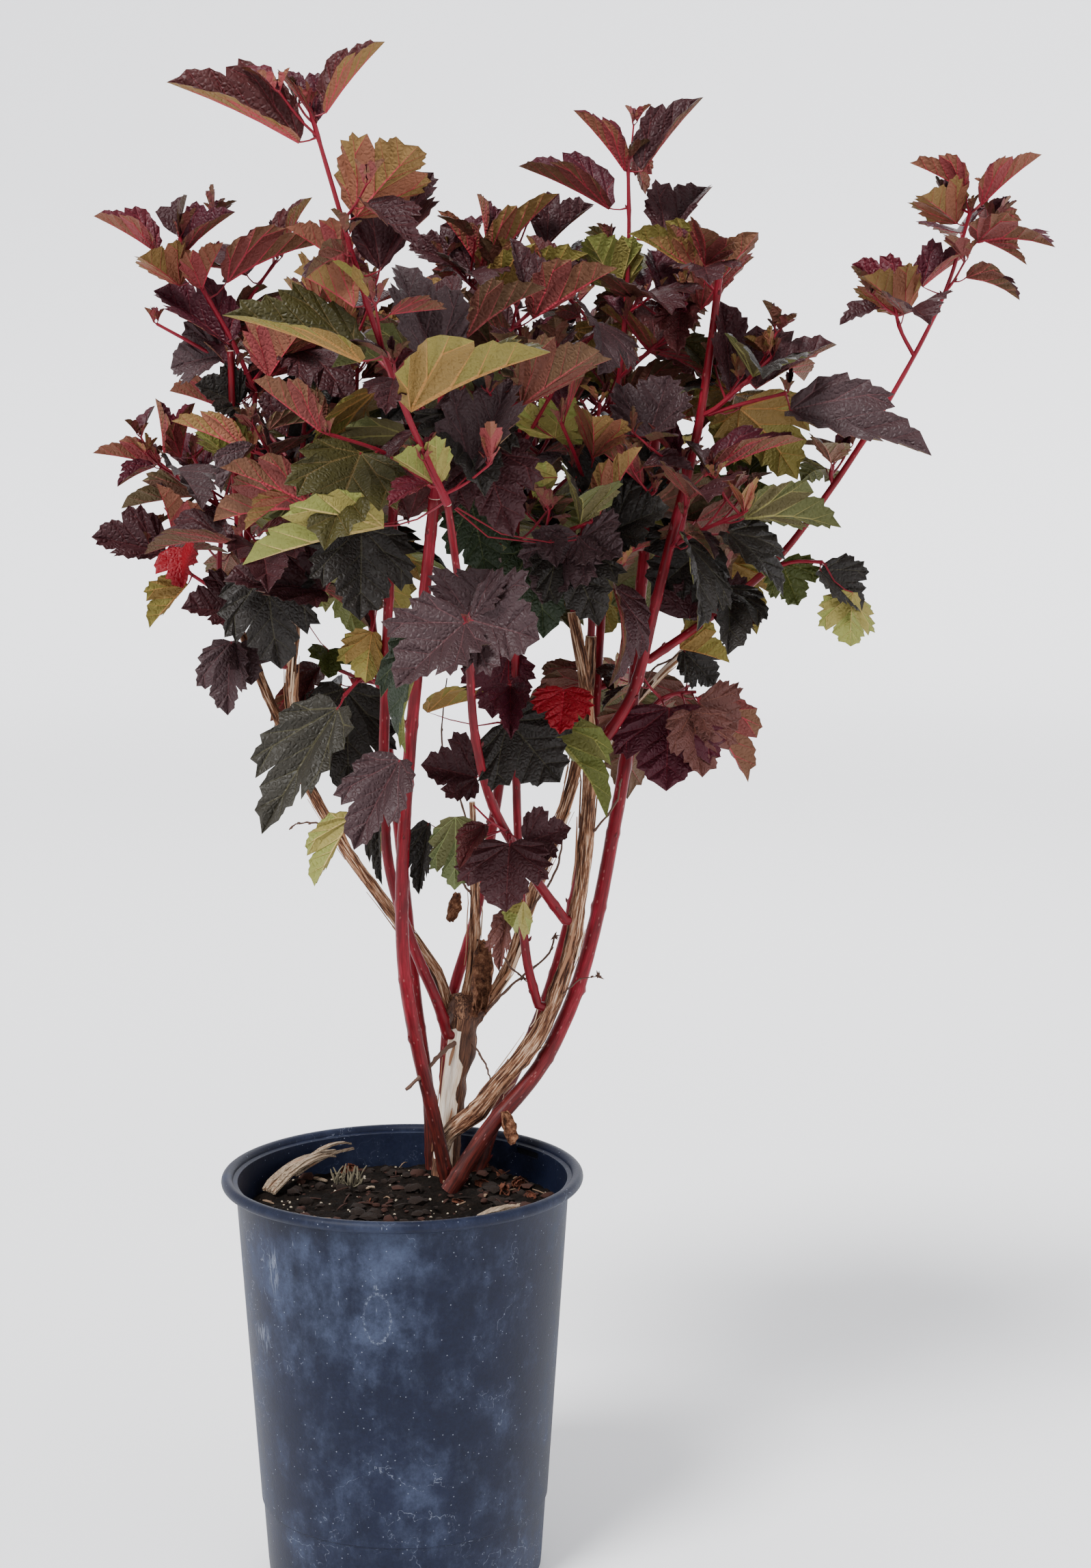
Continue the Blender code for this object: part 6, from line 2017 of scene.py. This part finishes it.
class NINEBARK_PG_pot(bpy.types.PropertyGroup):
    """Finish of the pot and its potting mix."""
    dust: FloatProperty(name="Dust", description="How much dried dust is on the pot", default=0.85,
                        min=0.0, max=1.0, subtype="FACTOR")
    plastic: hue("Plastic", "Plain plastic", (0.007, 0.010, 0.027))
    plastic_deep: hue("Plastic in shade", "Darker plastic", (0.004, 0.006, 0.016))
    dust_colour: hue("Dust colour", "Dried dust", (0.066, 0.084, 0.138))
    lime: hue("Lime", "Lime streaks and scuffs", (0.26, 0.29, 0.36))
    mix_dark: hue("Potting mix, damp", "Damp potting mix", (0.003, 0.0022, 0.0018))
    mix_brown: hue("Potting mix, dry", "Dry potting mix", (0.012, 0.008, 0.006))
    fleck: hue("Flecks", "Pale flecks in the mix", (0.12, 0.085, 0.06))


class NINEBARK_PG_bark(bpy.types.PropertyGroup):
    """Fineness and colours of the bark."""
    ring_step: FloatProperty(name="Ring step", description="Length between rings of corners",
                             default=4 * MM, min=1 * MM, unit="LENGTH")
    sides: IntProperty(name="Sides", description="Corners round a limb", default=22, min=8, max=48)
    red: hue("Red", "Young red bark", (0.19, 0.004, 0.012))
    red_deep: hue("Deep red", "Shaded red bark", (0.085, 0.0015, 0.005))
    bloom: hue("Bloom", "Dull bloom on red bark", (0.25, 0.012, 0.028))
    # Colours of the canes' feet: older bark, darkened further as painted shade.
    foot: hue("Foot", "Red bark near the mix", (0.085, 0.015, 0.011))
    foot_dark_and_shade: hue("Dark foot", "Oldest red bark", (0.028, 0.008, 0.007))
    speck: hue("Specks", "Pores of red bark", (0.36, 0.14, 0.13))
    fissure: hue("Fissure", "Deep in brown bark", (0.026, 0.011, 0.007))
    brown: hue("Brown", "Brown bark", (0.12, 0.047, 0.024))
    tan: hue("Tan", "Weathered bark", (0.31, 0.155, 0.085))
    fibre: hue("Fibre", "Lifted pale fibres", (0.62, 0.44, 0.30))
    wood: hue("Wood", "Bare wood", (0.95, 0.85, 0.72))
    wood_shade: hue("Shaded wood", "Weathered wood", (0.66, 0.49, 0.34))
    chip: hue("Chip", "Split wood of the chips", (0.36, 0.28, 0.20))
    chip_dark: hue("Chip grain", "Dark grain of the chips", (0.10, 0.065, 0.040))
    dead: hue("Dead leaf", "Dead leaf bits", (0.095, 0.030, 0.017))


class NINEBARK_PG_leaves(bpy.types.PropertyGroup):
    """Size and gloss of the leaves."""
    roughness: FloatProperty(name="Roughness", description="Roughness of a leaf's upper side",
                             default=0.48, min=0.0, max=1.0, subtype="FACTOR")
    pucker: FloatProperty(name="Pucker", description="Height of the relief between fine veins",
                          default=0.5 * MM, min=0.0, unit="LENGTH")
    shoot: hue("Shoot", "Young shoot", (0.17, 0.006, 0.016))
    stalk: hue("Stalk", "Leaf stalk", (0.18, 0.014, 0.024))
    bud: hue("Bud", "Bud scales", (0.09, 0.012, 0.014))


class NINEBARK_PG_stage(bpy.types.PropertyGroup):
    """Floor, light and camera."""
    floor: hue("Floor", "Pale floor", (0.95, 0.95, 0.97))
    sky: hue("Surroundings", "Even light from all round", (0.97, 0.98, 1.0))
    lens: FloatProperty(name="Lens", description="Focal length", default=57.6, min=10,
                        unit="CAMERA")


# Operators

class NINEBARK_OT_pot(bpy.types.Operator):
    """Model the pot in place of its plain solid."""
    bl_idname = "ninebark.pot"
    bl_label = "Nursery Pot"

    def execute(self, context):
        settle(make_pot(context.scene.ninebark_pot), "pot", ["pot"])
        return {"FINISHED"}


class NINEBARK_OT_soil(bpy.types.Operator):
    """Fill the pot with potting mix and strew it with perlite, clods and chips."""
    bl_idname = "ninebark.soil"
    bl_label = "Potting Mix"

    def execute(self, context):
        bark = context.scene.ninebark_bark
        settle(make_soil(context.scene.ninebark_pot), "soil", ["soil"])
        grains, clods, chips, bits = make_litter()
        perlite = [plain_plant("perlite_white", (0.36, 0.30, 0.22), 0.85, 1.2, 0.3)]
        crumbs = [plain_plant("clod_brown", (0.013, 0.008, 0.006), 0.95, 1.5, 0.8),
                  plain_plant("bark_bit", (0.034, 0.014, 0.010), 0.9, 1.2, 0.6),
                  plain_plant("straw_pale", (0.17, 0.11, 0.07), 0.8, 0.8, 0.4)]
        wood = [split_wood(bark), plain_plant("dry_tuft", (0.14, 0.12, 0.08), 0.9, 0.8, 0.4)]
        settle(grains.piece("perlite", perlite), "soil")
        settle(clods.piece("clods_and_bark_bits", crumbs), "soil")
        settle(chips.piece("wood_chips", wood), BARK_PALE)
        dead = dried_leaf(bark, "dead_leaf_bit", bark.dead, bark.brown)
        settle(bits.piece("dead_leaf_bits", [dead]), "soil")
        return {"FINISHED"}


class NINEBARK_OT_limbs(bpy.types.Operator):
    """Put bark with its relief on the stump, boughs and canes, with buds and loose strips."""
    bl_idname = "ninebark.limbs"
    bl_label = "Stump, Boughs and Canes"

    def execute(self, context):
        settings = context.scene.ninebark_bark
        for finish in (red_bark, brown_bark, pale_wood, cut_wood):
            finish(settings)
        for limb in LIMBS:
            carrier = PLAN.routes[limb.parent] if limb.parent else None
            settle(barked(limb, PLAN.routes[limb.name], carrier, settings), limb.slot, [limb.name])
        strips = [plain_plant("strip_tan", settings.tan, 0.85, 0.9, 0.4),
                  plain_plant("strip_pale", settings.fibre, 0.85, 0.9, 0.4)]
        settle(make_strips(PLAN.routes).piece("loose_bark", strips), BARK_BROWN)
        scales = plain_plant("bud_red", context.scene.ninebark_leaves.bud, 0.5, 0.8, 0.2)
        settle(make_buds(PLAN.routes).piece("cane_buds", [scales]), BARK_RED)
        return {"FINISHED"}


class NINEBARK_OT_snags(bpy.types.Operator):
    """Add the dead twigs, seed heads and dried leaves near the crown's foot."""
    bl_idname = "ninebark.snags"
    bl_label = "Dead Twigs"

    def execute(self, context):
        bark = context.scene.ninebark_bark
        twigs, leaves = make_snags(PLAN.routes)
        grey = plain_plant("twig_dead", (0.095, 0.052, 0.038), 0.85, 1.0, 0.5)
        settle(twigs.piece("dead_twigs", [grey]), BARK_BROWN)
        dried = dried_leaf(bark, "dried_leaf", bark.brown, bark.tan)
        settle(leaves.piece("dried_leaves", [dried]), LEAF_DARK)
        return {"FINISHED"}


class NINEBARK_OT_foliage(bpy.types.Operator):
    """Grow each mass of foliage: its twigs with stalks and buds, and its leaves in sprays."""
    bl_idname = "ninebark.foliage"
    bl_label = "Twigs and Leaves"

    def execute(self, context):
        settings = context.scene.ninebark_leaves
        faces = {}
        for tint, colours in TINTS.items():
            for part, colour in zip(FACE_PARTS, colours):
                rough = settings.roughness + (0.0 if "upper" in part else 0.14)
                colour = [value / 1000 for value in colour]
                faces[tint, part] = leaf_face(f"leaf_{tint}_{part}", colour, rough, settings.pucker)
        wood = [plain_plant("shoot_red", settings.shoot, 0.45, 1.6, 0.2),
                plain_plant("stalk_red", settings.stalk, 0.45, 1.6, 0.15),
                plain_plant("shoot_bud", settings.bud, 0.5, 0.8, 0.2)]
        placed = set_placed(PLAN.masses)
        for mass in MASSES:
            grow_mass(mass, faces, wood, placed)
        return {"FINISHED"}


def grow_mass(mass, finishes, twig_finishes, placed):
    """The twigs piece and the leaves piece of one mass."""
    chance = random.Random(mass.name + " looks")
    _, sprays, own = PLAN.masses[mass.name]
    blocked = [tree for name, tree in PLAN.taken.items() if name != mass.name]
    spurs = spurs_on(mass, sprays, own, blocked)
    stem_radii = [between(mass.thick, step / 8) * MM / 2 for step in range(9)]
    start = nearest_on_route(PLAN.routes[mass.limb][0], sprays[0][0][0])
    wood, foliage = Sheaf(), Sheaf()
    everything = []
    for number, (route, leaves) in enumerate(sprays + spurs):
        radii = stem_radii if number == 0 else TWIG_RADII if number < len(sprays) else SPUR_RADII
        begun = [route[0].lerp(start, 0.8), *route[1:]] if number == 0 else route
        wood.add(*twig_rod(begun, radii, leaves, chance))
        young = tip_leaves(route, chance) if mass.rise[1] > 0 else []
        _, ahead = along_route(route, 0.5)
        for leaf in leaves:
            wood.add(*stalk_rod(leaf), 1)
            run = (leaf.base - leaf.root).normalized()
            wood.add(*bud(leaf.root + run * 1.6 * MM, ahead, run, 3.2 * MM, 0.9 * MM), 2)
        for leaf in young:
            wood.add(*stalk_rod(leaf), 1)
        everything.append((route, leaves + young))
    settle(wood.piece(mass.name.replace("foliage", "twigs"), twig_finishes), BARK_RED, [mass.name])
    tints = deal_tints(mass, everything, chance)
    names = []
    for leaf, tint in zip([leaf for _, grown in everything for leaf in grown], tints):
        tint = placed.get(id(leaf), tint)
        lobe = clamp(1.15 - 1.2 * leaf.age + chance.uniform(-0.15, 0.15))
        corners, faces, parts = blade_mesh(leaf, lobe, chance, leaf.length < SMALL_LEAF)
        names += [(tint, part) for part in FACE_PARTS if (tint, part) not in names]
        foliage.add(corners, faces, [names.index((tint, FACE_PARTS[part])) for part in parts])
    used = [finishes[name] for name in names]
    piece = foliage.piece(mass.name.replace("foliage", "leaves"), used, smooth_angle=28)
    settle(piece, mass.slot, [mass.name])


# Name, place, size and power of each soft lamp
LAMPS = (("fill_light", (2.6, -2.2, 1.6), 2.4, 24), ("back_light", (0.4, 3.0, 2.8), 2.2, 40))
KEY_AIM = Vector((0.55, 0.75, -1.15))
KEY_STRENGTH = 5
KEY_SPREAD = math.radians(20)
SKY_STRENGTH = 0.86
FLOOR_RADIUS = 7
SWEEP = 2
SWEEP_TOP = 3.4
SWEEP_SPOKES = 96
CAMERA_PLACE = (0.111, -1.9, 0.865)
CAMERA_PITCH = 7.27


def pale_sweep():
    """The floor, which curves up into a low pale wall all round."""
    profile = [(FLOOR_RADIUS + SWEEP * math.sin(turn), SWEEP * (1 - math.cos(turn)))
               for turn in (math.radians(10 * step) for step in range(10))]
    profile.append((FLOOR_RADIUS + SWEEP, SWEEP_TOP))
    corners = [Vector((*polar(reach, angle), height))
               for reach, height in profile for angle in turns(SWEEP_SPOKES)]
    quads = ring_faces(len(profile), SWEEP_SPOKES)
    sweep = Sheaf()
    sweep.add(corners, [tuple(range(SWEEP_SPOKES)), *((a, d, c, b) for a, b, c, d in quads)])
    return sweep


def aimed(direction):
    """The turn that points a lamp in a direction."""
    return direction.to_track_quat("-Z", "Y").to_euler()


class NINEBARK_OT_stage(bpy.types.Operator):
    """Set a pale floor, soft light and a camera."""
    bl_idname = "ninebark.stage"
    bl_label = "Floor, Light and Camera"

    def execute(self, context):
        settings = context.scene.ninebark_stage
        made, _ = start_material("floor_pale", 0.9, 0.1, settings.floor)
        floor = pale_sweep().piece("floor", [made])
        for name, place, size, power in LAMPS:
            aim = Vector((0.1, 0.0, 0.65)) - Vector(place)
            bpy.ops.object.light_add(type="AREA", location=place, rotation=aimed(aim))
            lamp = context.object
            lamp.name = name
            lamp.data.size = size
            lamp.data.energy = power
        bpy.ops.object.light_add(type="SUN", location=-2 * KEY_AIM, rotation=aimed(KEY_AIM))
        key = context.object
        key.name = "key_light"
        key.data.energy = KEY_STRENGTH
        key.data.angle = KEY_SPREAD
        world = context.scene.world = bpy.data.worlds.new("studio")
        world.use_nodes = True
        backdrop = world.node_tree.nodes["Background"].inputs
        backdrop["Color"].default_value = opaque(settings.sky)
        backdrop["Strength"].default_value = SKY_STRENGTH
        bpy.ops.object.camera_add(location=CAMERA_PLACE,
                                  rotation=(math.radians(90 - CAMERA_PITCH), 0, 0))
        camera = context.scene.camera = context.object
        camera.data.lens = settings.lens
        camera.data.sensor_fit = "VERTICAL"
        camera.data.sensor_height = 36.0
        return {"FINISHED"}


class NINEBARK_PT_parts(bpy.types.Panel):
    """The plant's pieces, in the order of their making."""
    bl_label = "Ninebark"
    bl_idname = "NINEBARK_PT_parts"
    bl_space_type = "VIEW_3D"
    bl_region_type = "UI"
    bl_category = "Ninebark"

    def draw(self, context):
        for group in SETTINGS:
            box = self.layout.box()
            settings = getattr(context.scene, group)
            for name in settings.__annotations__:
                box.prop(settings, name)
        for operator in OPERATORS:
            self.layout.operator(operator.bl_idname)


SETTINGS = {"ninebark_pot": NINEBARK_PG_pot, "ninebark_bark": NINEBARK_PG_bark,
            "ninebark_leaves": NINEBARK_PG_leaves, "ninebark_stage": NINEBARK_PG_stage}
OPERATORS = (NINEBARK_OT_pot, NINEBARK_OT_soil, NINEBARK_OT_limbs, NINEBARK_OT_snags,
             NINEBARK_OT_foliage, NINEBARK_OT_stage)


def register():
    for group, kind in SETTINGS.items():
        bpy.utils.register_class(kind)
        setattr(bpy.types.Scene, group, PointerProperty(type=kind))
    for kind in (*OPERATORS, NINEBARK_PT_parts):
        bpy.utils.register_class(kind)


def unregister():
    for kind in (NINEBARK_PT_parts, *reversed(OPERATORS)):
        bpy.utils.unregister_class(kind)
    for group, kind in SETTINGS.items():
        delattr(bpy.types.Scene, group)
        bpy.utils.unregister_class(kind)


class PLAN:
    """The plan of growth that the limbs and the foliage share."""
    routes, masses, taken = crown_plan()


def main():
    register()
    for operator in OPERATORS:
        group, name = operator.bl_idname.split(".")
        getattr(getattr(bpy.ops, group), name)()


if __name__ == "__main__":
    main()
